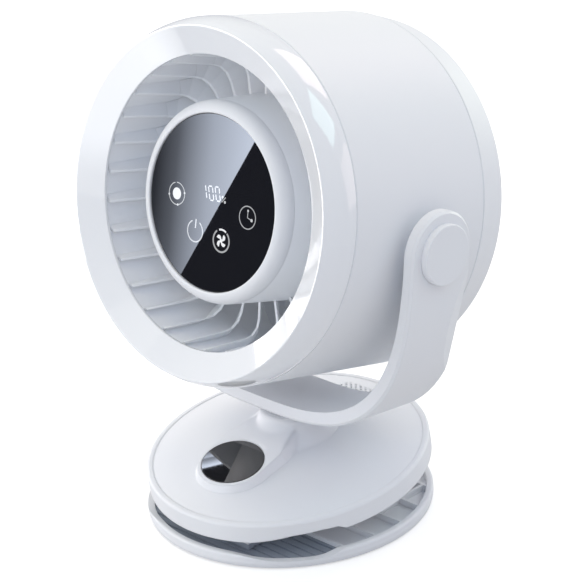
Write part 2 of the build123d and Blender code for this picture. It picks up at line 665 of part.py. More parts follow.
# =====================================================================================
# Head: motor
# =====================================================================================
bracket_front_s = bulkhead_s
bracket_rear_s = bulkhead_s - BRACKET_T
with BuildPart() as motor_bracket:
    # Plate on the hub's bulkhead with the tube that carries bearings and stator
    revolve(half_section(head, [
        (SHAFT_R + 1.0, bracket_front_s), (BRACKET_R, bracket_front_s), (BRACKET_R, bracket_rear_s),
        (TUBE_R, bracket_rear_s), (TUBE_R, TUBE_REAR_S), (BEARING_R, TUBE_REAR_S),
        (BEARING_R, bracket_rear_s), (SHAFT_R + 1.0, bracket_rear_s)]), axis=axis_of(head))
    with BuildSketch(head.offset(bracket_rear_s)):
        with PolarLocations(BRACKET_SCREW_RING_R, 3, start_angle=30):
            Circle(SMALL_SCREW_R + SCREW_CLEAR)
    extrude(amount=BRACKET_T, mode=Mode.SUBTRACT)
keep(motor_bracket.part, "motor_bracket")
keep(screws(head, BRACKET_SCREW_RING_R, 3, 30, bracket_rear_s,
            BRACKET_T + BULKHEAD_T + 2.0, -1), "bracket_screws")

with BuildPart() as motor_bearings:
    for bearing_s in (bracket_rear_s - BEARING_W - 0.3, TUBE_REAR_S):
        revolve(ring_section(head, SHAFT_R + RUN_FIT, BEARING_R - SNUG_FIT, bearing_s, bearing_s + BEARING_W),
                axis=axis_of(head))
keep(motor_bearings.part, "motor_bearings")

stator_rear_s = STATOR_FRONT_S - STATOR_T
with BuildPart() as motor_stator:
    # Lamination stack: ring, teeth and pole tips
    with BuildSketch(head.offset(stator_rear_s)):
        Circle(YOKE_RING_R)
        with PolarLocations((YOKE_RING_R + STATOR_R) / 2 - 0.5, SLOT_COUNT):
            Rectangle(STATOR_R - YOKE_RING_R + 0.8, TOOTH_W / 2)
        Circle(TUBE_R + SNUG_FIT, mode=Mode.SUBTRACT)
    extrude(amount=STATOR_T)
    with BuildSketch(head.offset(stator_rear_s)):
        Circle(STATOR_R)
        Circle(STATOR_R - TOOTH_TIP_T, mode=Mode.SUBTRACT)
        with PolarLocations(STATOR_R, SLOT_COUNT, start_angle=180 / SLOT_COUNT):
            Rectangle(2 * TOOTH_TIP_T + 2, 2.0, mode=Mode.SUBTRACT)
    extrude(amount=STATOR_T)
keep(motor_stator.part, "motor_stator")

with BuildPart() as motor_windings:
    # One coil round each tooth
    coil_out = STATOR_R - TOOTH_TIP_T - 0.2
    coil_in = YOKE_RING_R + 1.2
    with BuildSketch(head.offset(stator_rear_s - 1.4)):
        with PolarLocations((coil_in + coil_out) / 2, SLOT_COUNT):
            Rectangle(coil_out - coil_in, TOOTH_W)
    extrude(amount=STATOR_T + 2.8)
    with BuildSketch(head.offset(stator_rear_s - SEAT_GAP)):
        with PolarLocations((coil_in + coil_out) / 2, SLOT_COUNT):
            Rectangle(coil_out - coil_in + 1.0, TOOTH_W / 2 + 0.1)
    extrude(amount=STATOR_T + 2 * SEAT_GAP, mode=Mode.SUBTRACT)
keep(motor_windings.part, "motor_windings")

# =====================================================================================
# Impeller body
# =====================================================================================
magnet_in = STATOR_R + AIR_GAP
magnet_out = magnet_in + MAGNET_T
bell_out = magnet_out + BELL_WALL
with BuildPart() as motor_shaft:
    extrude(disc(head, SHAFT_R, SHAFT_REAR_S), amount=SHAFT_FRONT_S - SHAFT_REAR_S)
keep(motor_shaft.part, "motor_shaft")

with BuildPart() as rotor_magnets:
    revolve(ring_section(head, magnet_in, magnet_out, stator_rear_s - 1.0, STATOR_FRONT_S + 0.6),
            axis=axis_of(head))
keep(rotor_magnets.part, "rotor_magnets")

with BuildPart() as rotor_bell:
    # Steel cup round the magnets, open to the front, with a collar on the shaft
    revolve(half_section(head, [
        (magnet_out, BELL_FRONT_S), (bell_out, BELL_FRONT_S), (bell_out, BELL_REAR_S),
        (SHAFT_R + SNUG_FIT, BELL_REAR_S), (SHAFT_R + SNUG_FIT, BELL_REAR_S + 3.0), (5.0, BELL_REAR_S + 3.0),
        (6.0, BELL_REAR_S + BELL_WALL), (magnet_out, BELL_REAR_S + BELL_WALL)]), axis=axis_of(head))
keep(rotor_bell.part, "rotor_bell")


def blade_section(r, angle):
    """Flat strip across one blade at a radius, pitched about the radius by the angle."""
    depth = (IMPELLER_FRONT_S - IMPELLER_REAR_S - 3.0) / 2
    mid_s = (IMPELLER_FRONT_S + IMPELLER_REAR_S) / 2
    run = depth * math.tan(math.radians(angle))
    chord = math.hypot(depth, run)
    off_c = BLADE_T / 2 * depth / chord
    off_s = BLADE_T / 2 * run / chord
    corners = [
        (r, run + off_c, mid_s + depth - off_s),
        (r, run - off_c, mid_s + depth + off_s),
        (r, -run - off_c, mid_s - depth + off_s),
        (r, -run + off_c, mid_s - depth - off_s)]
    return strip(corners)


with BuildPart() as blade:
    loft([blade_section(IMPELLER_HUB_R - 4.0, BLADE_ROOT_ANGLE),
          blade_section(IMPELLER_TIP_R + 4.0, BLADE_TIP_ANGLE)], ruled=True)

with BuildPart() as impeller:
    # Seven twisted blades on a cup that carries the bell in its inner collar
    with Locations(head):
        with PolarLocations(0, BLADE_COUNT):
            add(blade.part)
    revolve(ring_section(head, IMPELLER_TIP_R, IMPELLER_TIP_R + BARREL_R, IMPELLER_REAR_S - BARREL_R,
                         IMPELLER_FRONT_S + BARREL_R), axis=axis_of(head), mode=Mode.SUBTRACT)
    extrude(disc(head, IMPELLER_HUB_R, IMPELLER_REAR_S), amount=IMPELLER_FRONT_S - IMPELLER_REAR_S)
    extrude(disc(head, IMPELLER_HUB_R - IMPELLER_WALL, IMPELLER_REAR_S + IMPELLER_WALL),
            amount=IMPELLER_FRONT_S - IMPELLER_REAR_S, mode=Mode.SUBTRACT)
    revolve(ring_section(head, bell_out, bell_out + IMPELLER_WALL, IMPELLER_REAR_S, BELL_FRONT_S - 4.0),
            axis=axis_of(head))
    extrude(disc(head, bell_out, IMPELLER_REAR_S), amount=BELL_REAR_S - IMPELLER_REAR_S)
    extrude(disc(head, SHAFT_R + SNUG_FIT, IMPELLER_REAR_S), amount=BELL_REAR_S - IMPELLER_REAR_S,
            mode=Mode.SUBTRACT)
keep(impeller.part, "impeller")

with BuildPart() as impeller_nut:
    with BuildSketch(head.offset(IMPELLER_REAR_S)):
        RegularPolygon(NUT_R, 6)
        Circle(SHAFT_R + SNUG_FIT, mode=Mode.SUBTRACT)
    extrude(amount=-NUT_T)
keep(impeller_nut.part, "impeller_nut")

# =====================================================================================
# Tilt pivots
# =====================================================================================
with BuildPart() as friction_washers:
    for side in (1, -1):
        with BuildSketch(side_plane(side, boss_end_x)):
            Circle(BOSS_R - 0.6)
            Circle(TRUNNION_R + 0.3, mode=Mode.SUBTRACT)
        extrude(amount=WASHER_T)
keep(friction_washers.part, "friction_washers")

with BuildPart() as pivot_screws:
    for side in (1, -1):
        with BuildSketch(side_plane(side, counterbore_x + RUN_FIT)):
            Circle(PIVOT_HEAD_R)
        extrude(amount=PIVOT_HEAD_T)
        with BuildSketch(side_plane(side, counterbore_x + RUN_FIT)):
            Circle(THREAD_R)
        extrude(amount=-PIVOT_SCREW_L)
keep(pivot_screws.part, "pivot_screws")

# =====================================================================================
# Yoke
# =====================================================================================
def strap_outline(half_width, depth):
    """One half of the U seen from the front: points of the superellipse below the straight arm."""
    points = []
    for step in range(0, 13):
        angle = math.radians(90.0 * step / 12)
        x = half_width * math.cos(angle) ** (2 / YOKE_ROUNDNESS)
        drop = (depth + YOKE_BEND_TOP) * math.sin(angle) ** (2 / YOKE_ROUNDNESS)
        points.append((x, YOKE_BEND_TOP - drop))
    return points


def on_strap_outside(edge):
    """True for the long edges of the strap's outer face and its rounded ends."""
    middle = yoke_front.to_local_coords(edge.position_at(0.5))
    drop = max(YOKE_BEND_TOP - middle.Y, 0) / (YOKE_DEPTH + YOKE_BASE_T + YOKE_BEND_TOP)
    reach = (abs(middle.X) / arm_out_x) ** YOKE_ROUNDNESS + drop ** YOKE_ROUNDNESS
    rounded_end = middle.Y > YOKE_W / 2 - 1.0
    return reach > 0.985 and (rounded_end or abs(middle.Z) > YOKE_W / 2 - 0.5)


arm_top = YOKE_W / 2 + 2.0
recess_z = POST_TOP_Z - POST_RECESS_D
plate_bottom_z = recess_z - POST_PLATE_T
swivel_disc_z = recess_z + SWIVEL_WASHER_T + RUN_FIT
spigot_end_z = plate_bottom_z - SEAT_GAP
yoke_bottom_z = yoke_front.from_local_coords((0, -YOKE_DEPTH - YOKE_BASE_T / 2, 0)).Z
with BuildPart() as yoke:
    with BuildSketch(yoke_front):
        with BuildLine():
            outer = strap_outline(ARM_INNER_X + ARM_T, YOKE_DEPTH + YOKE_BASE_T)
            inner = strap_outline(ARM_INNER_X, YOKE_DEPTH)
            Line((outer[0][0], arm_top), outer[0])
            Spline(*outer, tangents=((0, -1), (-1, 0)))
            Line(outer[-1], inner[-1])
            Spline(*reversed(inner), tangents=((1, 0), (0, 1)))
            Line(inner[0], (inner[0][0], arm_top))
            Line((inner[0][0], arm_top), (outer[0][0], arm_top))
        make_face()
        mirror(about=Plane.YZ)
    extrude(amount=YOKE_W / 2, both=True)
    # Round the arms' ends about the pivots
    with BuildSketch(Plane(origin=pivot, x_dir=yoke_front.z_dir * -1, z_dir=(1, 0, 0))):
        with BuildLine():
            Polyline((-YOKE_W / 2, 0), (-YOKE_W / 2, -DRUM_Z), (YOKE_W / 2, -DRUM_Z), (YOKE_W / 2, 0))
            ThreePointArc((YOKE_W / 2, 0), (0, YOKE_W / 2), (-YOKE_W / 2, 0))
        make_face()
    extrude(amount=ARM_INNER_X + 2 * ARM_T, both=True, mode=Mode.INTERSECT)
    # Flat seat for the washer, bore and counterbore at each pivot
    for side in (1, -1):
        with BuildSketch(side_plane(side, ARM_INNER_X)):
            Circle(BOSS_R + 1.0)
        extrude(amount=-ARM_T, mode=Mode.SUBTRACT)
        with BuildSketch(side_plane(side, ARM_INNER_X)):
            Circle(TRUNNION_R + RUN_FIT)
        extrude(amount=ARM_T, mode=Mode.SUBTRACT)
        with BuildSketch(side_plane(side, counterbore_x)):
            Circle(COUNTERBORE_R)
        extrude(amount=COUNTERBORE_D, mode=Mode.SUBTRACT)
    chamfer(yoke.edges().filter_by(on_strap_outside), length=YOKE_BEVEL)
    # Flat cut that thins the rear edge of each arm below the pivots
    for side in (1, -1):
        cut_start = yoke_front.from_local_coords((side * arm_out_x, SCOOP_TOP, -YOKE_W / 2))
        cut_normal = (Vector(side, 0, 0) - yoke_front.y_dir * SCOOP_SLOPE - yoke_front.z_dir * SCOOP_FLARE)
        with BuildSketch(Plane(origin=cut_start, x_dir=yoke_front.y_dir, z_dir=cut_normal)):
            Circle(2 * YOKE_DEPTH)
        extrude(amount=YOKE_DEPTH, mode=Mode.SUBTRACT)
    # Swivel disc and spigot that drop into the post, with the swivel screw's hole
    extrude(disc(pan, SWIVEL_DISC_R, swivel_disc_z), amount=yoke_bottom_z - swivel_disc_z)
    extrude(disc(pan, SPIGOT_R, spigot_end_z), amount=yoke_bottom_z - spigot_end_z)
    extrude(disc(pan, THREAD_R + SNUG_FIT, spigot_end_z), amount=SWIVEL_SCREW_L + 1.0, mode=Mode.SUBTRACT)
keep(yoke.part, "yoke")

with BuildPart() as pivot_caps:
    for side in (1, -1):
        with BuildSketch(side_plane(side, arm_out_x)):
            Circle(CAP_R)
        extrude(amount=CAP_PROUD)
        with BuildSketch(side_plane(side, arm_out_x)):
            Circle(COUNTERBORE_R - RUN_FIT)
        extrude(amount=-CAP_PLUG)
    fillet(pivot_caps.edges().filter_by(lambda e: abs(e.center().X) > arm_out_x + CAP_PROUD / 2
                                        and e.geom_type == GeomType.CIRCLE), radius=CAP_EDGE)
keep(pivot_caps.part, "pivot_caps")

with BuildPart() as swivel_washer:
    revolve(ring_section(pan, SPIGOT_R + 0.3, SWIVEL_DISC_R - 0.4, recess_z, recess_z + SWIVEL_WASHER_T),
            axis=axis_of(pan))
keep(swivel_washer.part, "swivel_washer")

with BuildPart() as swivel_retainer:
    revolve(ring_section(pan, THREAD_R + SNUG_FIT, RETAINER_R, spigot_end_z - RETAINER_T, spigot_end_z),
            axis=axis_of(pan))
keep(swivel_retainer.part, "swivel_retainer")

with BuildPart() as swivel_screw:
    extrude(disc(pan, THREAD_R, spigot_end_z - RETAINER_T), amount=SWIVEL_SCREW_L)
    extrude(disc(pan, 2 * THREAD_R, spigot_end_z - RETAINER_T), amount=-SWIVEL_HEAD_T)
keep(swivel_screw.part, "swivel_screw")

# =====================================================================================
# Upper jaw
# =====================================================================================
def dome_arc(edge_r, edge_h, top_h):
    """Middle point of the dome's arc from its edge to its top."""
    rise = top_h - edge_h
    ball = (edge_r ** 2 + rise ** 2) / (2 * rise)
    return (edge_r / 2, top_h - ball + math.sqrt(ball ** 2 - (edge_r / 2) ** 2))


def tongue_outline(depth, inset, back):
    """Rounded tongue seen from above, at a depth below its face; it widens with the draft."""
    grow = depth * math.tan(math.radians(TONGUE_DRAFT)) - inset
    half_x = BUTTON_A + TONGUE_MARGIN_X + grow
    half_y = BUTTON_B + TONGUE_MARGIN_Y + grow
    fade = (back - TONGUE_SHOULDER) / (TONGUE_BACK - TONGUE_SHOULDER)
    back_x = half_x + (TONGUE_NECK_X - BUTTON_A - TONGUE_MARGIN_X) * max(fade, 0)
    shoulder_y = min(TONGUE_SHOULDER, back - 1.0)
    with BuildSketch(tongue.offset(-depth)) as sketch:
        with BuildLine():
            EllipticalCenterArc((0, 0), half_x, half_y, start_angle=180, arc_size=180)
            Polyline((half_x, 0), (half_x, shoulder_y), (back_x, back),
                     (-back_x, back), (-half_x, shoulder_y), (-half_x, 0))
        make_face()
    return sketch.sketch


def tongue_ellipse(depth, grow):
    """Ellipse concentric with the button's opening."""
    with BuildSketch(tongue.offset(-depth)) as sketch:
        Ellipse(BUTTON_A + grow, BUTTON_B + grow)
    return sketch.sketch


rim_in = UPPER_R - RIM_WALL
jaw_screw_points = [(JAW_SCREW_RING_R * math.cos(math.radians(a)),
                     JAW_SCREW_RING_R * math.sin(math.radians(a)))
                    for a in JAW_SCREW_ANGLES]
dome_edge_r = UPPER_R - RIM_ROUND - RIM_BEAD
inner_edge_h = -BEAD_STEP - JAW_WALL
dimple_floor = DOME_H * (1 - (DIMPLE_V / dome_edge_r) ** 2) - DIMPLE_DEPTH
with BuildPart() as upper_jaw:
    # Rim with its bead, and the shallow dome
    with BuildSketch(section_of(jaw)):
        with BuildLine():
            Polyline((0, DOME_H), (0, -RIM_H), (UPPER_R, -RIM_H), (UPPER_R, -RIM_ROUND))
            RadiusArc((UPPER_R, -RIM_ROUND), (UPPER_R - RIM_ROUND, 0), -RIM_ROUND)
            Polyline((UPPER_R - RIM_ROUND, 0), (dome_edge_r + BEAD_STEP, 0), (dome_edge_r, -BEAD_STEP))
            ThreePointArc((dome_edge_r, -BEAD_STEP), dome_arc(dome_edge_r, -BEAD_STEP, DOME_H), (0, DOME_H))
        make_face()
    revolve(axis=axis_of(jaw))
    # Flared post, upright
    with BuildSketch(section_of(pan)):
        with BuildLine():
            Polyline((0, POST_TOP_Z), (0, HINGE_Z), (POST_FLARE[2][0], HINGE_Z), POST_FLARE[2])
            ThreePointArc(POST_FLARE[2], POST_FLARE[1], POST_FLARE[0])
            Polyline(POST_FLARE[0], (POST_LIP_R, POST_TOP_Z - 1.2), (POST_LIP_R, POST_TOP_Z - 0.4),
                     (POST_LIP_R - 0.4, POST_TOP_Z), (0, POST_TOP_Z))
        make_face()
    revolve(axis=axis_of(pan))
    # Tongue
    loft([tongue_outline(TONGUE_DROP, 0, TONGUE_BACK), tongue_outline(0, 0, TONGUE_BACK)], ruled=True)
    # Hollow under the dome, the tongue and the post
    with BuildSketch(section_of(jaw)):
        with BuildLine():
            Polyline((0, DOME_H - JAW_WALL), (0, -RIM_H - POST_TOP_Z), (rim_in, -RIM_H - POST_TOP_Z),
                     (rim_in, inner_edge_h))
            ThreePointArc((rim_in, inner_edge_h), dome_arc(rim_in, inner_edge_h, DOME_H - JAW_WALL),
                          (0, DOME_H - JAW_WALL))
        make_face()
    revolve(axis=axis_of(jaw), mode=Mode.SUBTRACT)
    loft([tongue_outline(TONGUE_DROP, TONGUE_SIDE_WALL, TONGUE_CAVITY_BACK),
          tongue_outline(TONGUE_WALL, TONGUE_SIDE_WALL, TONGUE_CAVITY_BACK)], ruled=True, mode=Mode.SUBTRACT)
    extrude(disc(pan, POST_RECESS_R, recess_z), amount=2 * POST_RECESS_D, mode=Mode.SUBTRACT)
    extrude(disc(pan, POST_BORE_R, HINGE_Z), amount=plate_bottom_z - HINGE_Z, mode=Mode.SUBTRACT)
    extrude(disc(pan, SPIGOT_R + RUN_FIT, plate_bottom_z), amount=POST_PLATE_T, mode=Mode.SUBTRACT)
    # Button opening
    extrude(tongue_ellipse(-1, 0), amount=-TONGUE_WALL - 2, mode=Mode.SUBTRACT)
    # Relief over the mouth, cut straight across
    with BuildSketch(jaw_side):
        with BuildLine():
            Polyline(*[(v, depth - RIM_H) for v, depth in RELIEF],
                     (RELIEF[-1][0], -2 * RIM_H), (RELIEF[0][0], -2 * RIM_H), close=True)
        make_face()
    extrude(amount=UPPER_R, both=True, mode=Mode.SUBTRACT)
    # Bosses for the cover's screws
    with BuildSketch(jaw.offset(PLATE_TOP)):
        with Locations(*jaw_screw_points):
            Circle(SCREW_BOSS_R)
    extrude(amount=SCREW_L - PLATE_T - 0.2)
    with BuildSketch(jaw.offset(PLATE_TOP)):
        with Locations(*jaw_screw_points):
            Circle(SMALL_SCREW_R + SNUG_FIT)
    extrude(amount=SCREW_L - PLATE_T, mode=Mode.SUBTRACT)
    # Port for the charging socket
    with BuildSketch(Plane(origin=jaw.from_local_coords((0, UPPER_R, SOCKET_H)), x_dir=(1, 0, 0),
                           z_dir=jaw.y_dir * -1)):
        RectangleRounded(SOCKET[0] + 2 * SOCKET_CLEAR, SOCKET[2] + 2 * SOCKET_CLEAR, SOCKET[2] / 2)
    extrude(amount=SOCKET[1] + 2.0, both=True, mode=Mode.SUBTRACT)
    # Grip dimples
    with BuildSketch(jaw.offset(DOME_H)):
        with Locations((0, DIMPLE_V)):
            with GridLocations(DIMPLE_PITCH, DIMPLE_PITCH, 2 * DIMPLE_ROWS, DIMPLE_ROWS):
                Circle(DIMPLE_R)
            with GridLocations(DIMPLE_PITCH, DIMPLE_PITCH, 2 * DIMPLE_ROWS - 1, DIMPLE_ROWS - 1):
                Circle(DIMPLE_R)
    extrude(amount=dimple_floor - DOME_H, mode=Mode.SUBTRACT)
keep(upper_jaw.part, "upper_jaw")

plate_bottom_h = PLATE_TOP - PLATE_T
lower_pad_z = FOOT_PROUD + LOWER_FLOOR + LOWER_PAD_T
upper_pad_z = lower_pad_z + MOVE_GAP
spring_end_x = SPRING_X + (SPRING_TURNS + 0.5) * SPRING_PITCH
seat_y = HINGE_Y + SPRING_LEG - SPRING_SEAT[1] / 2
board_depth = SWITCH_DEPTH + SWITCH_TIP_H + SWITCH_H


def hinge_lugs(x_range, foot_z, foot_half):
    """Pair of lugs round the pin, each with a web that widens to its foot."""
    with BuildPart() as lugs:
        for x_low in (x_range[0], -x_range[1]):
            with BuildSketch(hinge.offset(x_low)):
                Circle(LUG_R)
                with BuildLine():
                    Polyline((-LUG_R, 0), (LUG_R, 0), (foot_half, foot_z - HINGE_Z),
                             (-foot_half, foot_z - HINGE_Z), close=True)
                make_face()
            extrude(amount=x_range[1] - x_range[0])
    return lugs.part


with BuildPart() as jaw_cover:
    # Plate that closes the upper jaw, with the pad's carrier, spring seats and hinge lugs
    extrude(disc(jaw, rim_in - SEAT_GAP, plate_bottom_h), amount=PLATE_T)
    with BuildSketch(jaw_side):
        with BuildLine():
            Polyline(*[(v, depth - RIM_H) for v, depth in RELIEF],
                     (RELIEF[-1][0], -2 * RIM_H), (RELIEF[0][0], -2 * RIM_H), close=True)
        make_face()
    extrude(amount=UPPER_R, both=True, mode=Mode.SUBTRACT)
    with BuildSketch(base.offset(upper_pad_z + UPPER_PAD_T)):
        with Locations((0, (PAD_FRONT + PAD_REAR) / 2)):
            Rectangle(2 * PAD_HALF_X, PAD_REAR - PAD_FRONT)
    extrude(amount=JAW_Z - upper_pad_z - UPPER_PAD_T)
    with BuildSketch(base.offset(HINGE_Z + SPRING_R + SPRING_WIRE_R + SEAT_GAP)):
        with Locations((spring_end_x, seat_y), (-spring_end_x, seat_y)):
            Rectangle(*SPRING_SEAT)
    extrude(amount=JAW_Z - HINGE_Z)
    add(hinge_lugs(UPPER_LUG_X, JAW_Z, 2 * LUG_R))
    extrude(disc(jaw, UPPER_R, PLATE_TOP), amount=JAW_Z, mode=Mode.SUBTRACT)
    with BuildSketch(hinge.offset(-UPPER_R)):
        Circle(HINGE_PIN_R + RUN_FIT)
    extrude(amount=2 * UPPER_R, mode=Mode.SUBTRACT)
    # Posts with locating pins for the button's board
    with BuildSketch(tongue.offset(-board_depth - BASE_BOARD_T)):
        with Locations((BOARD_POST_X, 0), (-BOARD_POST_X, 0)):
            Circle(BOARD_POST_R)
    extrude(amount=board_depth + BASE_BOARD_T - TONGUE_H + PLATE_TOP - 1.0)
    with BuildSketch(tongue.offset(-board_depth - BASE_BOARD_T)):
        with Locations((BOARD_POST_X, 0), (-BOARD_POST_X, 0)):
            Circle(BOARD_PIN_R)
    extrude(amount=BASE_BOARD_T + 1.0)
    # Holes for the cover's screws
    with BuildSketch(jaw.offset(plate_bottom_h)):
        with Locations(*jaw_screw_points):
            Circle(SMALL_SCREW_R + SCREW_CLEAR)
    extrude(amount=PLATE_T, mode=Mode.SUBTRACT)
keep(jaw_cover.part, "jaw_cover")

with BuildPart() as jaw_screws:
    with BuildSketch(jaw.offset(plate_bottom_h)):
        with Locations(*jaw_screw_points):
            Circle(SMALL_HEAD_R)
    extrude(amount=-SMALL_HEAD_T)
    with BuildSketch(jaw.offset(plate_bottom_h)):
        with Locations(*jaw_screw_points):
            Circle(SMALL_SCREW_R)
    extrude(amount=SCREW_L - 0.5)
keep(jaw_screws.part, "jaw_screws")

with BuildPart() as upper_pad:
    # Ribbed rubber block of the upper jaw, parallel to the lower pad
    with BuildSketch(base.offset(upper_pad_z)):
        with Locations((0, (PAD_FRONT + PAD_REAR) / 2)):
            Rectangle(2 * PAD_HALF_X, PAD_REAR - PAD_FRONT)
    extrude(amount=UPPER_PAD_T)
    with BuildSketch(base.offset(upper_pad_z)):
        with Locations((0, (PAD_FRONT + PAD_REAR) / 2)):
            with GridLocations(PAD_PITCH, PAD_PITCH, 1, 4):
                Rectangle(2 * PAD_HALF_X, PAD_GROOVE_W)
    extrude(amount=PAD_GROOVE_D, mode=Mode.SUBTRACT)
keep(upper_pad.part, "upper_pad")

with BuildPart() as battery_pack:
    with BuildSketch(jaw.offset(PLATE_TOP)):
        with Locations((0, BATTERY_V)):
            RectangleRounded(BATTERY[0], BATTERY[1], BATTERY_ROUND)
    extrude(amount=BATTERY[2])
keep(battery_pack.part, "battery_pack")

with BuildPart() as base_board:
    with BuildSketch(tongue.offset(-board_depth - BASE_BOARD_T)):
        Rectangle(*BASE_BOARD)
        with Locations((BOARD_POST_X, 0), (-BOARD_POST_X, 0)):
            Circle(BOARD_PIN_R + RUN_FIT, mode=Mode.SUBTRACT)
    extrude(amount=BASE_BOARD_T)
keep(base_board.part, "base_board")

with BuildPart() as push_switch:
    # Body of the tactile switch under the button
    with BuildSketch(tongue.offset(-board_depth)):
        Rectangle(SWITCH_SIDE, SWITCH_SIDE)
    extrude(amount=SWITCH_H)
    extrude(disc(tongue, SWITCH_TIP_R + RUN_FIT, SWITCH_H - board_depth),
            amount=-SWITCH_WELL, mode=Mode.SUBTRACT)
keep(push_switch.part, "push_switch")

with BuildPart() as switch_plunger:
    # Tip of the switch, which the button's stem pushes down into the well
    extrude(disc(tongue, SWITCH_TIP_R, -SWITCH_DEPTH - 2 * SWITCH_TIP_H), amount=2 * SWITCH_TIP_H)
keep(switch_plunger.part, "switch_plunger")

with BuildPart() as oval_button:
    # Glossy oval cap, the flange that keeps it in, and the stem to the switch
    extrude(tongue_ellipse(TONGUE_WALL + SEAT_GAP, -BUTTON_CLEAR),
            amount=TONGUE_WALL + SEAT_GAP + BUTTON_PROUD)
    extrude(tongue_ellipse(TONGUE_WALL + SEAT_GAP + BUTTON_FLANGE_T, BUTTON_FLANGE), amount=BUTTON_FLANGE_T)
    extrude(disc(tongue, BUTTON_STEM_R, SEAT_GAP - SWITCH_DEPTH),
            amount=SWITCH_DEPTH - SEAT_GAP - TONGUE_WALL - BUTTON_FLANGE_T)
keep(oval_button.part, "oval_button")

socket_plane = Plane(origin=jaw.from_local_coords((0, UPPER_R - 0.6, SOCKET_H)), x_dir=(1, 0, 0),
                     z_dir=jaw.y_dir * -1)
with BuildPart() as charging_socket:
    # Steel shell with its contact tongue
    with BuildSketch(socket_plane):
        RectangleRounded(SOCKET[0], SOCKET[2], SOCKET[2] / 2 - 0.01)
    extrude(amount=SOCKET[1])
    with BuildSketch(socket_plane):
        RectangleRounded(SOCKET[0] - 2 * SOCKET_WALL, SOCKET[2] - 2 * SOCKET_WALL,
                         SOCKET[2] / 2 - SOCKET_WALL - 0.01)
        Rectangle(SOCKET[0] - 8 * SOCKET_WALL, SOCKET_TONGUE_T, mode=Mode.SUBTRACT)
    extrude(amount=SOCKET[1] - 1.0, mode=Mode.SUBTRACT)
keep(charging_socket.part, "charging_socket")

with BuildPart() as socket_board:
    with BuildSketch(jaw.offset(PLATE_TOP)):
        with Locations((0, rim_in - 2.0 - SOCKET_BOARD[1] / 2)):
            Rectangle(*SOCKET_BOARD)
        with Locations((0, UPPER_R - 0.6 - SOCKET[1])):
            Rectangle(SOCKET[0] + 2 * RUN_FIT,
                      2 * RUN_FIT, align=(Align.CENTER, Align.MIN), mode=Mode.SUBTRACT)
            Rectangle(SOCKET[0] + 2 * RUN_FIT, SOCKET[1], align=(Align.CENTER, Align.MIN), mode=Mode.SUBTRACT)
    extrude(amount=BASE_BOARD_T)
keep(socket_board.part, "socket_board")

# =====================================================================================
# Lower jaw
# =====================================================================================
floor_z = FOOT_PROUD + LOWER_FLOOR
lower_in = LOWER_R - LOWER_WALL
with BuildPart() as lower_jaw:
    # Round tray
    revolve(half_section(base, [
        (0, FOOT_PROUD), (LOWER_R - 2 * LOWER_ROUND, FOOT_PROUD),
        (LOWER_R - 0.5 * LOWER_ROUND, 1.6 * FOOT_PROUD),
        (LOWER_R, floor_z), (LOWER_R, LOWER_TOP - LOWER_ROUND),
        (LOWER_R - 0.3 * LOWER_ROUND, LOWER_TOP - 0.3),
        (LOWER_R - LOWER_ROUND, LOWER_TOP), (lower_in + 0.4, LOWER_TOP), (lower_in, LOWER_TOP - 0.4),
        (lower_in, floor_z), (0, floor_z)]), axis=axis_of(base))
    # Rim dips at the mouth, on both sides
    with BuildSketch(Plane.YZ):
        with BuildLine():
            Spline(*DIP, tangents=((1, 0), (1, 0)))
            Polyline(DIP[-1], (DIP[-1][0], 2 * LOWER_TOP), (DIP[0][0], 2 * LOWER_TOP), DIP[0])
        make_face()
    extrude(amount=UPPER_R + LOWER_WALL, both=True, mode=Mode.SUBTRACT)
    # Grid of ribs
    with BuildSketch(base.offset(floor_z - 0.5)):
        with Locations(*[(0, y) for y in CROSS_RIBS]):
            Rectangle(2 * LOWER_R, RIB_T)
        with Locations(*[(x, LONG_RIB_FRONT) for x in LONG_RIBS]):
            Rectangle(RIB_T, LOWER_R, align=(Align.CENTER, Align.MIN))
        Circle(lower_in + 0.5, mode=Mode.INTERSECT)
    extrude(amount=RIB_TOP - floor_z + 0.5)
    # Spring seats and hinge lugs
    with BuildSketch(base.offset(floor_z - 0.5)):
        with Locations((SPRING_X, seat_y), (-SPRING_X, seat_y)):
            Rectangle(*SPRING_SEAT)
    extrude(amount=HINGE_Z - SPRING_R - SPRING_WIRE_R - SEAT_GAP - floor_z + 0.5)
    add(hinge_lugs(LOWER_LUG_X, floor_z - 0.5, 2 * LUG_R))
    with BuildSketch(hinge.offset(-LOWER_R)):
        Circle(HINGE_PIN_R + SNUG_FIT)
    extrude(amount=2 * LOWER_R, mode=Mode.SUBTRACT)
    # Pocket for the foot pad
    extrude(disc(base, FOOT_R + SEAT_GAP, 0), amount=FOOT_T, mode=Mode.SUBTRACT)
keep(lower_jaw.part, "lower_jaw")

with BuildPart() as foot_pad:
    extrude(disc(base, FOOT_R, 0), amount=FOOT_T)
    chamfer(foot_pad.edges().group_by(Axis.Z)[0], length=FOOT_PROUD / 2)
keep(foot_pad.part, "foot_pad")

with BuildPart() as lower_pad:
    # Ribbed rubber pad in front of the first cross rib
    pad_back = CROSS_RIBS[0] - RIB_T / 2 - SEAT_GAP
    with BuildSketch(base.offset(floor_z)):
        Circle(lower_in - SEAT_GAP)
        with Locations((0, pad_back)):
            Rectangle(2 * LOWER_R, 2 * LOWER_R, align=(Align.CENTER, Align.MIN), mode=Mode.SUBTRACT)
    extrude(amount=LOWER_PAD_T)
    groove_count = int((lower_in + pad_back) / PAD_PITCH)
    with BuildSketch(base.offset(floor_z + LOWER_PAD_T)):
        with Locations(*[(0, pad_back - PAD_PITCH * (k + 0.5)) for k in range(groove_count)]):
            Rectangle(2 * LOWER_R, PAD_GROOVE_W)
    extrude(amount=-PAD_GROOVE_D, mode=Mode.SUBTRACT)
keep(lower_pad.part, "lower_pad")

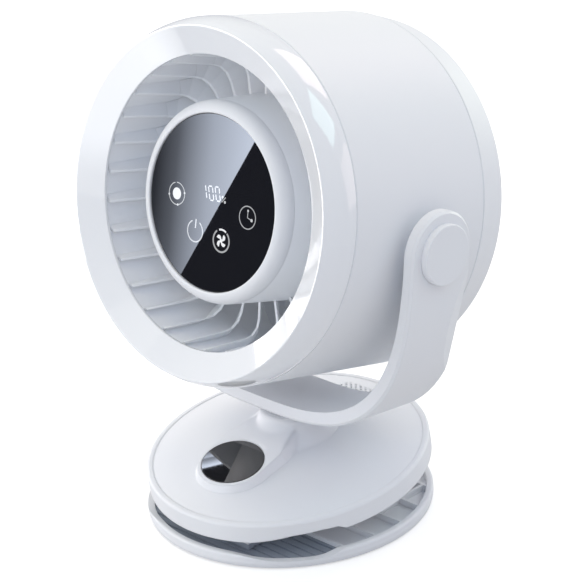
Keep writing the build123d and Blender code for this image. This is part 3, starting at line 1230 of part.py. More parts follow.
with BuildPart() as hinge_pin:
    with BuildSketch(hinge.offset(-LOWER_LUG_X[1] - 1.0)):
        Circle(HINGE_PIN_R)
    extrude(amount=2 * LOWER_LUG_X[1] + 2.0)
keep(hinge_pin.part, "hinge_pin")


def biarc(p0, t0, p1, t1):
    """Joint of the two tangent arcs that lead from one point and direction to another."""
    v = p1 - p0
    t = t0 + t1
    a = 2 * (1 - t0.dot(t1))
    b = 2 * v.dot(t)
    reach = (-b + math.sqrt(b * b + 4 * a * v.dot(v))) / (2 * a) if a > 1e-9 else v.dot(v) / (4 * v.dot(t1))
    return (p0 + t0 * reach + p1 - t1 * reach) * 0.5


def spring_point(turn):
    """Point and direction of the coil's centre line after this many turns."""
    angle = -math.pi / 2 - 2 * math.pi * turn
    point = Vector(SPRING_X + SPRING_PITCH * turn, HINGE_Y + SPRING_R * math.cos(angle),
                   HINGE_Z + SPRING_R * math.sin(angle))
    along = Vector(SPRING_PITCH / (2 * math.pi), SPRING_R * math.sin(angle), -SPRING_R * math.cos(angle))
    return point, along.normalized()


def spring():
    """One torsion spring: leg, coil of tangent arcs, leg, in a single tube."""
    quarters = int(4 * (SPRING_TURNS + 0.5))
    first, first_dir = spring_point(0)
    last, last_dir = spring_point(SPRING_TURNS + 0.5)
    with BuildLine() as path:
        Line(first - first_dir * SPRING_LEG, first)
        for step in range(quarters):
            p0, t0 = spring_point(step / 4)
            p1, t1 = spring_point((step + 1) / 4)
            joint = biarc(p0, t0, p1, t1)
            arc = TangentArc(p0, joint, tangent=t0)
            TangentArc(joint, p1, tangent=arc.tangent_at(1))
        Line(last, last + last_dir * SPRING_LEG)
    with BuildPart() as tube:
        with BuildSketch(Plane(origin=first - first_dir * SPRING_LEG, z_dir=first_dir)):
            Circle(SPRING_WIRE_R)
        sweep(path=path.wire())
    return tube.part


def least_turn_gap(samples=60):
    """Least gap between neighbouring turns of a coil, from points along its centre line."""
    centres = [spring_point(k / samples)[0] for k in range(samples * (SPRING_TURNS + 1))]
    apart = min((a - b).length for k, a in enumerate(centres) for b in centres[k + samples // 2:])
    return apart - 2 * SPRING_WIRE_R


right_spring = spring()
with BuildPart() as torsion_springs:
    add(right_spring)
    add(right_spring.mirror(Plane.YZ))
keep(torsion_springs.part, "torsion_springs")
print("least gap of a spring to itself, mm:", round(least_turn_gap(), 2))
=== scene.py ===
import math

import bpy
import numpy as np
from mathutils import Matrix, Vector


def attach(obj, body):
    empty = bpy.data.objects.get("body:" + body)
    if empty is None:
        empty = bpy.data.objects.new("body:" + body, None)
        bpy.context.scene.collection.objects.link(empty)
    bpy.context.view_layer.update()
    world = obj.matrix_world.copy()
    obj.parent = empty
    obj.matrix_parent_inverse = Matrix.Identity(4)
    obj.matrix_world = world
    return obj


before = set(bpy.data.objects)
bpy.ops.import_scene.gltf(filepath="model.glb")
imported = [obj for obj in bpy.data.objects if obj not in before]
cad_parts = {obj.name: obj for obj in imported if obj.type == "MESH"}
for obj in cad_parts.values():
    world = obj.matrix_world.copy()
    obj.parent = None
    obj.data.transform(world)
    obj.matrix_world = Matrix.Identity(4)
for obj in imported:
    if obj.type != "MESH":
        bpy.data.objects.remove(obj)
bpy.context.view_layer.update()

# ---- Lower jaw: round tray of the clip
# Injection-moulded ABS, satin white, with a fine spark-eroded grain. It stands on its rubber
# disc and carries the ribs, the spring seats and the lugs of the hinge.


class Tint:
    """One output of a finish's nodes. Arithmetic on it adds Math nodes."""

    def __init__(self, finish, socket):
        self.finish = finish
        self.socket = socket

    def sum_up(self, operation, *values):
        return self.finish.node("ShaderNodeMath", {"operation": operation}, *values)

    def __add__(self, other):
        return self.sum_up("ADD", self, other)

    def __radd__(self, other):
        return self.sum_up("ADD", other, self)

    def __sub__(self, other):
        return self.sum_up("SUBTRACT", self, other)

    def __rsub__(self, other):
        return self.sum_up("SUBTRACT", other, self)

    def __mul__(self, other):
        return self.sum_up("MULTIPLY", self, other)

    def __rmul__(self, other):
        return self.sum_up("MULTIPLY", other, self)

    def most(self, other):
        return self.sum_up("MAXIMUM", self, other)

    def __lt__(self, other):
        return self.sum_up("LESS_THAN", self, other)


class Finish:
    """A material made of nodes, on one Principled surface."""

    def __init__(self, name, **constants):
        self.material = bpy.data.materials.new(name)
        self.material.use_nodes = True
        self.tree = self.material.node_tree
        self.surface = self.tree.nodes["Principled BSDF"]
        for socket, value in constants.items():
            self.feed(socket.replace("_", " "), value)

    def feed(self, socket, value):
        """Sets or links an input of the surface by its name."""
        self.put(self.surface.inputs[socket], value)

    def put(self, socket, value):
        if isinstance(value, Tint):
            self.tree.links.new(value.socket, socket)
        else:
            socket.default_value = value

    def node(self, kind, settings, *values, output=0, **named):
        """Adds a node: settings first (stops are a ramp's), then its sockets by order or by name."""
        made = self.tree.nodes.new(kind)
        for key, value in settings.items():
            if key == "stops":
                ramp = made.color_ramp.elements
                while len(ramp) < len(value):
                    ramp.new(1.0)
                for stop, (position, colour) in zip(ramp, value):
                    stop.position = position
                    stop.color = (*colour, 1.0)
            else:
                setattr(made, key, value)
        for index, value in enumerate(values):
            self.put(made.inputs[index], value)
        for socket, value in named.items():
            self.put(made.inputs[socket], value)
        return Tint(self, made.outputs[output])

    def place(self):
        """The surface's place in the object's own metres."""
        return self.node("ShaderNodeTexCoord", {}, output="Object")

    def speckle(self, scale, detail=2.0, rough=0.5):
        """Soft noise between 0 and 1; scale is in grains per metre."""
        return self.node("ShaderNodeTexNoise", {}, Vector=self.place(), Scale=scale, Detail=detail,
                         Roughness=rough)

    def mix(self, mask, low, high):
        """Colour between low and high."""
        made = self.tree.nodes.new("ShaderNodeMix")
        made.data_type = "RGBA"
        for index, value in ((0, mask), (6, low), (7, high)):
            self.put(made.inputs[index], value)
        return Tint(self, made.outputs[2])

    def relief(self, height, depth, edge=0.0):
        """Feeds the normal: height (0 to 1) raised by depth metres, over edges rounded by edge metres."""
        bump = {"Distance": depth, "Height": height, "Strength": 1.0}
        if edge:
            bump["Normal"] = self.node("ShaderNodeBevel", {"samples": 4}, Radius=edge)
        self.feed("Normal", self.node("ShaderNodeBump", {}, **bump))


WHITE = (0.82, 0.835, 0.865)
WHITE_SHADE = (0.805, 0.822, 0.857)
SATIN_IOR = 1.46
GRAIN_SCALE = 2600.0
GRAIN_DEPTH = 0.000012
MOULDED_EDGE = 0.0005


def satin_skin(finish, colour, shade, sheen):
    """Faint mottling from colour towards shade, and uneven gloss."""
    finish.feed("Base Color", finish.mix(finish.speckle(35.0, 4.0), (*colour, 1), (*shade, 1)))
    finish.feed("Roughness", sheen - 0.04 + 0.08 * finish.speckle(220.0, 3.0))


def satin(name, colour, shade, sheen=0.42):
    """Moulded plastic with a fine grain and softened edges."""
    finish = Finish(name, IOR=SATIN_IOR)
    satin_skin(finish, colour, shade, sheen)
    finish.relief(finish.speckle(GRAIN_SCALE, 3.0), GRAIN_DEPTH, MOULDED_EDGE)
    return finish


def dress(finish, *nodes):
    for name in nodes:
        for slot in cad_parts[name].material_slots:
            slot.material = finish.material


shell_white = satin("satin_white_shell", WHITE, WHITE_SHADE)
dress(shell_white, "lower_jaw", "jaw_cover")

# ---- Foot pad and the two ribbed grip pads
# Silicone rubber, matte. The foot pad is a die-cut disc glued into the tray's underside; the
# grip pads are moulded with straight ribs and glued in.


def rubber(name, colour, worn):
    """Rubber with a dusty bloom in patches and a dull, pitted skin."""
    finish = Finish(name, IOR=1.4)
    finish.feed("Base Color", finish.mix(finish.speckle(60.0, 5.0, 0.65), (*colour, 1), (*worn, 1)))
    finish.feed("Roughness", 0.62 + 0.22 * finish.speckle(400.0, 3.0))
    finish.relief(finish.speckle(1800.0, 4.0, 0.7), 0.00003)
    return finish


dress(rubber("grip_rubber", (0.27, 0.31, 0.37), (0.34, 0.38, 0.44)), "lower_pad", "upper_pad")
dress(rubber("foot_rubber", (0.36, 0.38, 0.41), (0.43, 0.45, 0.48)), "foot_pad")

# ---- Hinge pin, torsion springs, screws and other bare steel
# Zinc-plated steel, bright with a faint blue cast and finely scratched; the springs are drawn
# wire, darker.


def steel(name, colour, dark, rough):
    """Plated steel: clouded plating and fine scratches."""
    finish = Finish(name, Metallic=1.0)
    clouds = finish.speckle(180.0, 4.0, 0.6)
    finish.feed("Base Color", finish.mix(clouds, (*colour, 1), (*dark, 1)))
    finish.feed("Roughness", rough + 0.16 * finish.speckle(700.0, 4.0))
    finish.relief(finish.speckle(3000.0, 2.0), 0.000008)
    return finish


zinc = steel("zinc_plate", (0.66, 0.67, 0.70), (0.54, 0.56, 0.60), 0.22)
dress(zinc, "hinge_pin", "jaw_screws", "charging_socket", "swivel_screw", "swivel_retainer", "pivot_screws")
dress(steel("spring_wire", (0.40, 0.40, 0.42), (0.28, 0.28, 0.30), 0.3), "torsion_springs")

# ---- Upper jaw: domed disc with its rim, flared post and tongue
# The same satin ABS as the tray, one moulding with the post, closed from below by a screwed
# cover plate. Round the post the surfaces run into each other with wide, soft radii.
NECK_RADIUS = 0.0045
NECK_REACH = 0.027
EDGE_RADIUS = 0.0009
jaw_white = Finish("satin_white_jaw", IOR=SATIN_IOR)
satin_skin(jaw_white, WHITE, WHITE_SHADE, 0.40)
spot = jaw_white.node("ShaderNodeVectorMath", {"operation": "MULTIPLY"}, jaw_white.place(), (1.0, 1.0, 0.0))
spread = jaw_white.node("ShaderNodeVectorMath", {"operation": "LENGTH"}, spot, output="Value")
near_post = spread < NECK_REACH
soft = jaw_white.node("ShaderNodeBevel", {"samples": 8}, Radius=NECK_RADIUS)
crisp = jaw_white.node("ShaderNodeBevel", {"samples": 4}, Radius=EDGE_RADIUS)
jaw_white.feed("Normal", jaw_white.node("ShaderNodeBump", {}, Strength=1.0, Distance=GRAIN_DEPTH,
                                        Height=jaw_white.speckle(GRAIN_SCALE, 3.0),
                                        Normal=jaw_white.mix(near_post, crisp, soft)))
dress(jaw_white, "upper_jaw")

# ---- Oval button
# Polished black plastic cap set in the tongue, with a fine dark clearance all round.
gloss_black = Finish("polished_black", IOR=1.9)
gloss_black.feed("Base Color", gloss_black.mix(gloss_black.speckle(90.0), (0.010, 0.010, 0.012, 1),
                                               (0.014, 0.014, 0.016, 1)))
gloss_black.feed("Roughness", 0.01 + 0.015 * gloss_black.speckle(300.0, 4.0))
gloss_black.relief(gloss_black.speckle(40.0), 0.000002, 0.0003)
dress(gloss_black, "oval_button")

# ---- Electronics: boards, battery, switch and socket board
# Glass-fibre boards with green mask over copper tracks; the cell pack is in shrink film; small
# parts are black or grey thermoplastic.


def board(name):
    """Green solder mask: lighter tracks on a square grid under a darker ground, slightly raised."""
    finish = Finish(name, IOR=1.5, Roughness=0.35)
    tracks = finish.node("ShaderNodeTexBrick", {}, Vector=finish.place(), Color1=(0, 0, 0, 1),
                         Color2=(0, 0, 0, 1), Mortar=(1, 1, 1, 1), Scale=300.0, output="Fac")
    finish.feed("Base Color", finish.mix(tracks, (0.012, 0.10, 0.045, 1), (0.03, 0.20, 0.09, 1)))
    finish.relief(tracks, 0.00003)
    return finish


dress(board("green_board"), "display_board", "driver_board", "base_board", "socket_board")
dress(satin("black_thermoplastic", (0.022, 0.022, 0.026), (0.03, 0.03, 0.034), 0.5), "touch_pads",
      "driver_components", "push_switch")
grey_nylon = satin("grey_nylon", (0.40, 0.42, 0.46), (0.36, 0.38, 0.42), 0.5)
dress(grey_nylon, "switch_plunger", "swivel_washer", "friction_washers")
dress(satin("reflector_white", (0.82, 0.82, 0.78), (0.76, 0.76, 0.72), 0.6), "segment_block")
film = Finish("shrink_film", IOR=1.5)
film.feed("Base Color", film.mix(film.speckle(50.0, 3.0), (0.03, 0.12, 0.34, 1), (0.04, 0.15, 0.40, 1)))
film.feed("Roughness", 0.18 + 0.15 * film.speckle(120.0, 3.0))
film.relief(film.speckle(260.0, 5.0, 0.7), 0.0002)
dress(film, "battery_pack")

# ---- Yoke and pivot caps
# U-shaped strap of satin ABS, moulded in one piece; it turns on the post. The caps snap into the
# counterbores over the pivot screws.
dress(shell_white, "yoke", "pivot_caps")

# ---- Casing of the head
# Barrel and slotted rear cover, satin ABS. The front ring is the one polished moulding: it
# mirrors the room in its rounded side and in the funnel that leads to the vanes.
dress(shell_white, "barrel", "rear_cover")
polished = Finish("polished_white_ring", IOR=1.5, Coat_Weight=1.0, Coat_Roughness=0.015, Coat_IOR=1.6)
polished.feed("Base Color", polished.mix(polished.speckle(25.0, 3.0), (0.86, 0.875, 0.905, 1),
                                         (0.85, 0.868, 0.90, 1)))
polished.feed("Roughness", 0.05 + 0.04 * polished.speckle(80.0, 3.0))
polished.relief(polished.speckle(160.0), 0.000004, 0.0006)
dress(polished, "front_ring")

# ---- Duct, guide vanes, hub and impeller
# Satin ABS. Duct, vanes, hub and shroud are painted lighter and a little bluer than the casing, and
# given a faint painted glow: painted light for what the thin walls pass on to each other, since
# light reaches them only through the opening.
VANE_PAINTED_GLOW = 0.03
vanes_painted_light = satin("satin_white_vanes_painted_light", (0.90, 0.915, 0.94), (0.885, 0.905, 0.935), 0.4)
# Painted glow: light of their own that stands for light bounced between the walls.
vanes_painted_light.feed("Emission Color", (0.92, 0.97, 1.06, 1))
vanes_painted_light.feed("Emission Strength", VANE_PAINTED_GLOW)
dress(vanes_painted_light, "air_duct", "guide_vane_grille", "hub_cup", "fan_shroud")
dress(satin("impeller_white", (0.86, 0.875, 0.90), (0.84, 0.86, 0.89), 0.45), "impeller")

# ---- Motor
# Pressed steel bell and bracket, laminated stator with copper coils, black ferrite ring, steel
# bearings and shaft.
dress(zinc, "motor_bracket", "bracket_screws", "display_board_screws", "driver_board_screws", "impeller_nut",
      "rotor_bell", "motor_shaft", "motor_bearings")
dress(steel("stator_laminations", (0.45, 0.45, 0.46), (0.30, 0.30, 0.31), 0.35), "motor_stator")
dress(steel("ferrite", (0.10, 0.10, 0.11), (0.07, 0.07, 0.08), 0.5), "rotor_magnets")
copper = Finish("enamelled_copper", Metallic=1.0, Roughness=0.3)
strands = copper.node("ShaderNodeTexWave", {"bands_direction": "DIAGONAL"}, Vector=copper.place(),
                      Scale=900.0)
copper.feed("Base Color", copper.mix(strands, (0.35, 0.12, 0.05, 1), (0.75, 0.33, 0.15, 1)))
copper.relief(strands, 0.0002)
dress(copper, "motor_windings")

# ---- Trim ring and touch glass
# The ring is satin white and rounded; the glass is dark acrylic, polished, with its keys lit from
# behind.
dress(shell_white, "hub_trim_ring")
dark_glass = Finish("dark_touch_glass", IOR=1.7)
dark_glass.feed("Base Color", dark_glass.mix(dark_glass.speckle(40.0), (0.009, 0.0095, 0.013, 1),
                                             (0.011, 0.0115, 0.015, 1)))
dark_glass.feed("Roughness", 0.004 + 0.008 * dark_glass.speckle(200.0, 4.0))
dark_glass.relief(dark_glass.speckle(30.0), 0.000001, 0.0002)
dress(dark_glass, "display_glass")

# ---- Lit symbols on the glass
# Light that shines through the glass: brightness key, power key, fan key, timer key and the
# charge left in seven-segment figures. It is made as thin strokes just over the glass, placed in
# metres right and up from its centre.
HEAD_TILT = math.radians(13.6)
DRUM_CENTRE = Vector((0.0, 0.0107, 0.1695))
GLASS_AHEAD = 0.0512
SYMBOL_LIFT = 0.00004
STROKE = 0.00042
head_right = Vector((1.0, 0.0, 0.0))
head_forward = Vector((0.0, -math.cos(HEAD_TILT), math.sin(HEAD_TILT)))
head_up = Vector((0.0, math.sin(HEAD_TILT), math.cos(HEAD_TILT)))


def band(centre, radius, width, start=0.0, turn=360.0, steps=48):
    """Arc of a ring: points at radius -+ width / 2 along an angle from start over turn degrees."""
    angle = np.radians(start + turn * np.linspace(0.0, 1.0, steps))
    reach = radius + width * np.array([[-0.5], [0.5]])
    return np.stack([centre[0] + reach * np.cos(angle), centre[1] + reach * np.sin(angle)], axis=-1)


def dot(centre, radius):
    """Filled disc: a ring's band from its centre out to the radius."""
    return band(centre, radius / 2, radius)


def bar(start, end, width):
    """Straight stroke: a two by two grid, half the width to each side of the line."""
    start, end = np.array(start, float), np.array(end, float)
    side = np.array([end[1] - start[1], start[0] - end[0]])
    side = side / np.hypot(*side) * width / 2
    return np.array([[start + side, end + side], [start - side, end - side]])


def petal(centre, turn, length, steps=24):
    """Fan blade: radius grows along the blade while it sweeps round, wider towards the tip."""
    run = np.linspace(0.0, 1.0, steps)
    angle = np.radians(turn + 35.0 * run)
    spread = np.radians(26.0) * np.sin(np.pi * (0.12 + 0.80 * run)) ** 0.6
    side = np.array([[1.0], [-1.0]])
    reach = length * (0.12 + 0.88 * run)
    return np.stack([centre[0] + reach * np.cos(angle + side * spread),
                     centre[1] + reach * np.sin(angle + side * spread)], axis=-1)


LIGHT_KEY = (-0.0253, -0.0008)
POWER_KEY = (-0.0098, -0.0165)
FAN_KEY = (0.0091, -0.0171)
TIMER_KEY = (0.0255, -0.0016)
KEY_R = 0.0056
DIGIT_W = 0.0028
DIGIT_H = 0.0067
DIGIT_SLANT = -0.30
DIGIT_RISE = 0.09
DIGIT_END_GAP = 0.12


def figure(corner, segments):
    """Strokes of one seven-segment figure; corner is its lower left, segments name a to g."""
    ends = {"a": ((0, 2), (1, 2)), "b": ((1, 2), (1, 1)), "c": ((1, 1), (1, 0)), "d": ((0, 0), (1, 0)),
            "e": ((0, 1), (0, 0)), "f": ((0, 2), (0, 1)), "g": ((0, 1), (1, 1))}
    strokes = []
    for name in segments:
        first, last = np.array(ends[name], float)
        near = first * (1.0 - DIGIT_END_GAP) + last * DIGIT_END_GAP
        far = first * DIGIT_END_GAP + last * (1.0 - DIGIT_END_GAP)
        place = [(corner[0] + x * DIGIT_W + y * DIGIT_H / 2 * DIGIT_SLANT,
                  corner[1] + y * DIGIT_H / 2 + x * DIGIT_W * DIGIT_RISE) for x, y in (near, far)]
        strokes.append(bar(*place, STROKE * 1.6))
    return strokes


def beside(key, right, up):
    """A place right of and above a key's centre."""
    return key[0] + right, key[1] + up


brightness_symbol = [(1.0, dot(LIGHT_KEY, 0.003))]
brightness_symbol += [(0.60, band(LIGHT_KEY, KEY_R, STROKE * 1.2, start, 78))
                      for start in (20, 110, 200, 290)]
brightness_symbol += [(0.8, dot(beside(LIGHT_KEY, KEY_R * math.cos(a), KEY_R * math.sin(a)), 0.0006))
                      for a in np.radians((14, 194, 284))]
power_symbol = [(0.62, band(POWER_KEY, KEY_R - 0.0002, STROKE * 1.5, 118, 304)),
                (0.70, bar(beside(POWER_KEY, 0.0, 0.0061), beside(POWER_KEY, 0.0, 0.0015), STROKE * 1.8))]
fan_symbol = [(0.46, band(FAN_KEY, KEY_R, STROKE * 2.2, 128, 284)),
              (1.0, band(FAN_KEY, KEY_R, STROKE * 2.2, 60, 52)),
              (1.0, dot(FAN_KEY, 0.001))]
fan_symbol += [(1.0, petal(FAN_KEY, turn, 0.0036)) for turn in (20, 110, 200, 290)]
timer_symbol = [(0.5, band(TIMER_KEY, KEY_R, STROKE * 1.3)),
                (0.6, bar(TIMER_KEY, beside(TIMER_KEY, 0.0, 0.0034), STROKE)),
                (0.6, bar(TIMER_KEY, beside(TIMER_KEY, 0.003, -0.0008), STROKE)),
                (0.7, dot(beside(TIMER_KEY, 0.003, -0.0008), 0.0008)),
                (0.7, dot(beside(TIMER_KEY, 0.0, 0.0034), 0.0006))]
charge_figures = [(0.78, stroke)
                  for corner, segments in (((-0.0065, 0.0011), "bc"), ((-0.0015, 0.0012), "abcdef"),
                                           ((0.0031, 0.0018), "abcdef"))
                  for stroke in figure(corner, segments)]
percent_sign = [(0.7, bar((0.0068, 0.0019), (0.0092, 0.0048), STROKE)),
                (0.7, band((0.0071, 0.0045), 0.0004, 0.0006)),
                (0.7, band((0.0090, 0.0023), 0.0004, 0.0006))]


def strokes_mesh(name, strokes):
    """One mesh of grids in the glass plane: right, up and glow become place and attribute."""
    points, faces, glow, count = [], [], [], 0
    across, up, out = np.array(head_right), np.array(head_up), np.array(head_forward)
    centre = np.array(DRUM_CENTRE) + out * (GLASS_AHEAD + SYMBOL_LIFT)
    for strength, grid in strokes:
        rows, columns = grid.shape[:2]
        points.append((centre + grid[..., :1] * across + grid[..., 1:] * up).reshape(-1, 3))
        index = count + np.arange(rows * columns).reshape(rows, columns)
        quads = np.stack([index[:-1, :-1], index[:-1, 1:], index[1:, 1:], index[1:, :-1]], axis=-1)
        quads = quads.reshape(-1, 4)
        corner = points[-1][quads[0] - count]
        if np.cross(corner[1] - corner[0], corner[2] - corner[0]) @ out < 0:
            quads = quads[:, ::-1]
        faces.append(quads)
        glow.append(np.full(rows * columns, strength))
        count += rows * columns
    mesh = bpy.data.meshes.new(name)
    mesh.from_pydata(np.concatenate(points).tolist(), [], np.concatenate(faces).tolist())
    shine = np.concatenate(glow).astype(np.float32)
    mesh.attributes.new("glow", "FLOAT", "POINT").data.foreach_set("value", shine)
    made = bpy.data.objects.new(name, mesh)
    bpy.context.scene.collection.objects.link(made)
    return made


symbol_light = Finish("symbol_light", Roughness=0.01, IOR=1.7, Emission_Strength=0.75)
level = symbol_light.node("ShaderNodeAttribute", {"attribute_name": "glow"}, output="Fac")
level = level * (0.94 + 0.06 * symbol_light.speckle(2500.0))
symbol_light.feed("Emission Color", symbol_light.mix(level, (0.02, 0.022, 0.026, 1), (0.95, 0.97, 1.0, 1)))
symbol_light.feed("Base Color", symbol_light.mix(level, (0.02, 0.02, 0.02, 1), (0.2, 0.2, 0.2, 1)))
display_symbols = strokes_mesh("display_symbols", brightness_symbol + power_symbol + fan_symbol + timer_symbol
                               + charge_figures + percent_sign)
display_symbols.data.materials.append(symbol_light.material)
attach(display_symbols, "head")

# ---- Floor and room
# Plain pale floor that runs out to white, with the object's soft shadow on it. The room is white
# to the eye and a little darker in mirrors.
FLOOR_HALF = 6.0
SHADOW_REACH = 0.5
WHITE_REACH = 2.0
NEAR_GLOW = 0.5


class Surroundings(Finish):
    """The world's nodes: backgrounds chosen by the kind of ray."""

    def __init__(self, name):
        self.world = bpy.data.worlds.new(name)
        self.world.use_nodes = True
        self.tree = self.world.node_tree
        self.tree.nodes.remove(self.tree.nodes["Background"])
        bpy.context.scene.world = self.world

    def background(self, colour):
        return self.node("ShaderNodeBackground", {}, colour, 1.0)

    def ray(self, kind):
        return self.node("ShaderNodeLightPath", {}, output=kind)

    def choose(self, share, first, second):
        chosen = self.node("ShaderNodeMixShader", {}, share, first, second)
        self.put(self.tree.nodes["World Output"].inputs["Surface"], chosen)


def sheet(name, corners):
    """One flat face through its corners."""
    mesh = bpy.data.meshes.new(name)
    mesh.from_pydata(corners, [], [tuple(range(len(corners)))])
    made = bpy.data.objects.new(name, mesh)
    bpy.context.scene.collection.objects.link(made)
    return made


floor = sheet("floor", [(-FLOOR_HALF, -FLOOR_HALF, 0), (FLOOR_HALF, -FLOOR_HALF, 0),
                        (FLOOR_HALF, FLOOR_HALF, 0), (-FLOOR_HALF, FLOOR_HALF, 0)])
pale_floor = Finish("pale_floor", Base_Color=(0.66, 0.66, 0.66, 1), Roughness=0.9, Emission_Strength=1.0,
                    Specular_IOR_Level=0.1)
seen = pale_floor.node("ShaderNodeLightPath", {}, output="Is Camera Ray")
away = pale_floor.node("ShaderNodeVectorMath", {"operation": "LENGTH"}, pale_floor.place(), output="Value")
far = pale_floor.node("ShaderNodeMapRange", {}, away, SHADOW_REACH, WHITE_REACH, NEAR_GLOW, 1.0)
pale_floor.feed("Emission Color", pale_floor.mix(seen * far, (0, 0, 0, 1), (1, 1, 1, 1)))
floor.data.materials.append(pale_floor.material)
floor.visible_glossy = False

room = Surroundings("room")
sky = room.background((0.60, 0.60, 0.67, 1))
mirror_tone = room.mix(room.ray("Is Glossy Ray"), (1, 1, 1, 1), (0.60, 0.62, 0.67, 1))
seen_room = room.background(mirror_tone)
direct = room.ray("Is Camera Ray").most(room.ray("Is Glossy Ray")).most(room.ray("Is Transmission Ray"))
room.choose(direct, sky, seen_room)

# ---- Camera
# The photograph's viewpoint: azimuth and elevation round the object, distance, roll and a long
# lens.
AZIMUTH = math.radians(46.638)
ELEVATION = math.radians(23.539)
ROLL = -0.0686
DISTANCE = 1.3428
AIM_ACROSS = 0.00774
AIM_HEIGHT = 0.11947
LENS = 162.15
SENSOR = 36.0


def toward(azimuth, elevation):
    """Unit vector (sin a cos e, -cos a cos e, sin e) of azimuth a from the front and elevation e."""
    return Vector((math.sin(azimuth) * math.cos(elevation), -math.cos(azimuth) * math.cos(elevation),
                   math.sin(elevation)))


back = toward(AZIMUTH, ELEVATION)
right = Vector((math.cos(AZIMUTH), math.sin(AZIMUTH), 0.0))
upward = back.cross(right)
right_rolled = right * math.cos(ROLL) + upward * math.sin(ROLL)
up_rolled = upward * math.cos(ROLL) - right * math.sin(ROLL)
eye = right * AIM_ACROSS + Vector((0.0, 0.0, AIM_HEIGHT)) + back * DISTANCE
lens = bpy.data.cameras.new("camera")
lens.lens = LENS
lens.sensor_width = SENSOR
lens.clip_start = 0.05
camera = bpy.data.objects.new("camera", lens)
camera.matrix_world = Matrix.Translation(eye) @ Matrix((right_rolled, up_rolled, back)).transposed().to_4x4()
bpy.context.scene.collection.objects.link(camera)
bpy.context.scene.camera = camera
bpy.context.scene.view_settings.view_transform = "Standard"

# ---- Softbox and flag that the glass mirrors
# A black flag with a bright panel whose straight edge is the split seen in the glass. Both stand
# well off the object, parallel to the glass, where the camera's mirror image looks through it.
# Only reflections see them.
GLASS_CARD_HALF = 0.056
GLASS_CARD_REACH = 1.8
GLASS_SPLIT_TOP = 0.0360
GLASS_SPLIT_FOOT = -0.0254
PANEL_NEARER = 0.01
PANEL_TINT = (0.79, 0.87, 1.03)


def unlit(name, **constants):
    """Black matte surface, for light of its own."""
    return Finish(name, Base_Color=(0, 0, 0, 1), Roughness=1.0, Specular_IOR_Level=0.0, **constants)


def mirrored(face, outline, reach):
    """Points (x, y) of a face as the mirrored eye M sees them, reach times as far: M + (p - M) reach."""
    origin, across, up, normal = face
    image = eye - 2.0 * (eye - origin).dot(normal) * normal
    return [image + (origin + across * x + up * y - image) * reach for x, y in outline]


def square(half):
    """Corners of a square round a face's centre, half to each side."""
    return [(-half, half), (half, half), (half, -half), (-half, -half)]


def card(name, corners, finish):
    """Flat face that only reflections see."""
    made = sheet(name, [tuple(corner) for corner in corners])
    made.data.materials.append(finish.material)
    made.visible_camera = False
    made.visible_diffuse = False
    made.visible_shadow = False
    made.visible_transmission = False


def panel(name, start, end, levels):
    """Light in steps of (share of the way from start to end, strength)."""
    top = max(strength for share, strength in levels)
    finish = unlit(name, Emission_Strength=top)
    way = (end - start) / (end - start).length_squared
    along = finish.node("ShaderNodeVectorMath", {"operation": "DOT_PRODUCT"}, finish.place(), tuple(way),
                        output="Value")
    stops = [(share, tuple(strength / top * part for part in PANEL_TINT)) for share, strength in levels]
    finish.feed("Emission Color", finish.node("ShaderNodeValToRGB", {"stops": stops}, along - start.dot(way)))
    return finish


flag_black = unlit("flag_black", Emission_Color=(0.85, 0.9, 1.1, 1), Emission_Strength=0.03)
glass_face = (DRUM_CENTRE + head_forward * GLASS_AHEAD, head_right, head_up, head_forward)
glass_reach = GLASS_CARD_REACH - PANEL_NEARER
glass_lit_part = [(-GLASS_CARD_HALF, GLASS_CARD_HALF), (GLASS_SPLIT_TOP, GLASS_CARD_HALF),
                  (GLASS_SPLIT_FOOT, -GLASS_CARD_HALF), (-GLASS_CARD_HALF, -GLASS_CARD_HALF)]
card("flag_glass", mirrored(glass_face, square(GLASS_CARD_HALF), GLASS_CARD_REACH), flag_black)
card("softbox_glass", mirrored(glass_face, glass_lit_part, glass_reach),
     panel("softbox_gradient", *mirrored(glass_face, [(-0.042, 0), (0.022, 0)], glass_reach),
           [(0.0, 0.25), (0.22, 1.3), (0.60, 5.6), (1.0, 8.4)]))

# ---- Windows that the polished ring mirrors
# Three bright openings of the studio, about a metre off, which show as patches in the ring's
# funnel. Only reflections see them.
EDGE_LEFT = 0.40
FADE_FROM = 0.55
FADE_TO = 1.15


def window(name, outline, distance, strength):
    """Flat panel seen from the drum's centre through (azimuth, elevation) corners: C + d D / (d m).

    Its light falls off from the middle to the share EDGE_LEFT at the corners.
    """
    turns = np.radians(np.array(outline, float))
    rays = np.stack([np.sin(turns[:, 0]) * np.cos(turns[:, 1]), -np.cos(turns[:, 0]) * np.cos(turns[:, 1]),
                     np.sin(turns[:, 1])], axis=-1)
    middle = rays.mean(axis=0)
    middle = middle / np.linalg.norm(middle)
    points = np.array(DRUM_CENTRE) + rays * (distance / (rays @ middle))[:, None]
    heart = points.mean(axis=0)
    reach = np.linalg.norm(points - heart, axis=1).mean()
    finish = unlit(name, Emission_Strength=strength)
    off_heart = finish.node("ShaderNodeVectorMath", {"operation": "DISTANCE"}, finish.place(), tuple(heart),
                            output="Value")
    fade = finish.node("ShaderNodeMapRange", {"interpolation_type": "SMOOTHSTEP"}, off_heart,
                       FADE_FROM * reach, FADE_TO * reach, 1.0, EDGE_LEFT)
    finish.feed("Emission Color", finish.mix(fade, (0, 0, 0, 1), (0.97, 0.98, 1.0, 1)))
    card(name, points.tolist(), finish)


window("window_under_left",
       [(-43, -46), (-41, -26), (-14, -10), (3, 10), (13, 1), (8, -22), (-20, -46)], 0.95, 3.0)
window("window_front", [(-36, 24), (-36, 48), (-17, 48), (-17, 24)], 1.0, 0.95)
window("window_left", [(-84, -3), (-84, 14), (-76, 14), (-76, -3)], 1.0, 1.4)

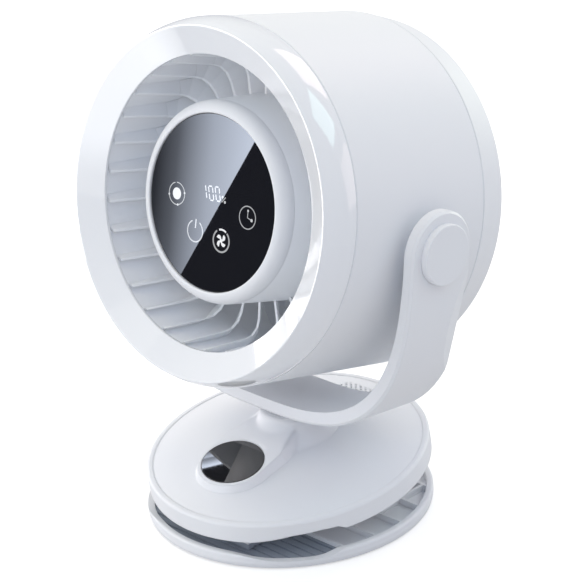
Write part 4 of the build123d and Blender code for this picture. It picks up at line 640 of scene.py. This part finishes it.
# ---- Softbox and flag that the button mirrors
# The same pair for the oval button, parallel to its top: the panel's straight edge crosses the
# button from corner to corner. Only reflections see them.
BUTTON_CENTRE = Vector((0.0, -0.0391, 0.0382))
BUTTON_UP = Vector((0.0, -0.2957, 0.9553)).normalized()
BUTTON_CARD_HALF = 0.024
BUTTON_CARD_REACH = 1.62
button_face = (BUTTON_CENTRE, head_right, BUTTON_UP.cross(head_right), BUTTON_UP)
button_reach = BUTTON_CARD_REACH - PANEL_NEARER
button_lit_part = [(-BUTTON_CARD_HALF, BUTTON_CARD_HALF), (-BUTTON_CARD_HALF, -BUTTON_CARD_HALF),
                   (BUTTON_CARD_HALF, BUTTON_CARD_HALF)]
card("flag_button", mirrored(button_face, square(BUTTON_CARD_HALF), BUTTON_CARD_REACH), flag_black)
card("softbox_button", mirrored(button_face, button_lit_part, button_reach),
     panel("softbox_streaks", *mirrored(button_face, [(0, 0), (-0.012, 0.012)], button_reach),
           [(0.0, 8.0), (0.26, 3.2), (0.42, 1.4), (0.47, 5.0), (0.70, 1.6), (1.0, 0.3)]))

# ---- Studio lamps
# Soft boxes all round, the strongest low at the camera's left. Each row is name, azimuth from the
# front, elevation, size in metres, power in watts and colour. Reflections leave out the UNMIRRORED
# ones, which would show as patches in the ring.
LAMP_AIM = Vector((0.0, 0.0, 0.13))
LAMP_DISTANCE = 1.9
UNMIRRORED = ("overhead", "front_low", "front_high", "right_front", "right_high", "left_back", "left_high",
              "key_high")
LAMPS = [
    ("overhead", 0.0, 90.0, 1.2, 4.0, (1.18, 1.10, 0.72)),
    ("front_low", 2.0, 8.0, 0.8, 2.3, (0.91, 1.05, 1.03)),
    ("front_high", 2.0, 42.0, 0.8, 1.6, (1.35, 1.05, 0.60)),
    ("right_front", 47.0, 42.0, 0.8, 1.1, (0.30, 0.95, 1.75)),
    ("right_high", 92.0, 42.0, 0.8, 0.8, (1.40, 1.10, 0.50)),
    ("right_back_low", 137.0, 8.0, 0.8, 1.35, (1.16, 0.93, 0.90)),
    ("right_back_high", 137.0, 42.0, 0.8, 2.9, (0.77, 1.13, 1.10)),
    ("back_low", 182.0, 8.0, 0.8, 3.9, (1.01, 1.10, 0.89)),
    ("back_high", 182.0, 42.0, 0.8, 3.0, (1.17, 0.92, 0.91)),
    ("left_back", 227.0, 42.0, 0.8, 4.6, (1.07, 1.05, 0.88)),
    ("left_low", 272.0, 8.0, 0.8, 7.6, (1.06, 0.98, 0.96)),
    ("left_high", 272.0, 42.0, 0.8, 3.8, (1.16, 1.05, 0.79)),
    ("key_low", 317.0, 8.0, 0.8, 7.4, (1.03, 0.99, 0.98)),
    ("key_high", 317.0, 42.0, 0.8, 1.2, (0.67, 1.25, 1.08)),
]
for name, azimuth, elevation, size, watts, colour in LAMPS:
    direction = toward(math.radians(azimuth), math.radians(elevation))
    lamp = bpy.data.lights.new(name, "AREA")
    lamp.size = size
    lamp.energy = watts
    lamp.color = colour
    held = bpy.data.objects.new(name, lamp)
    held.location = LAMP_AIM + direction * LAMP_DISTANCE
    held.rotation_euler = direction.to_track_quat("Z", "Y").to_euler()
    held.visible_glossy = name not in UNMIRRORED
    bpy.context.scene.collection.objects.link(held)
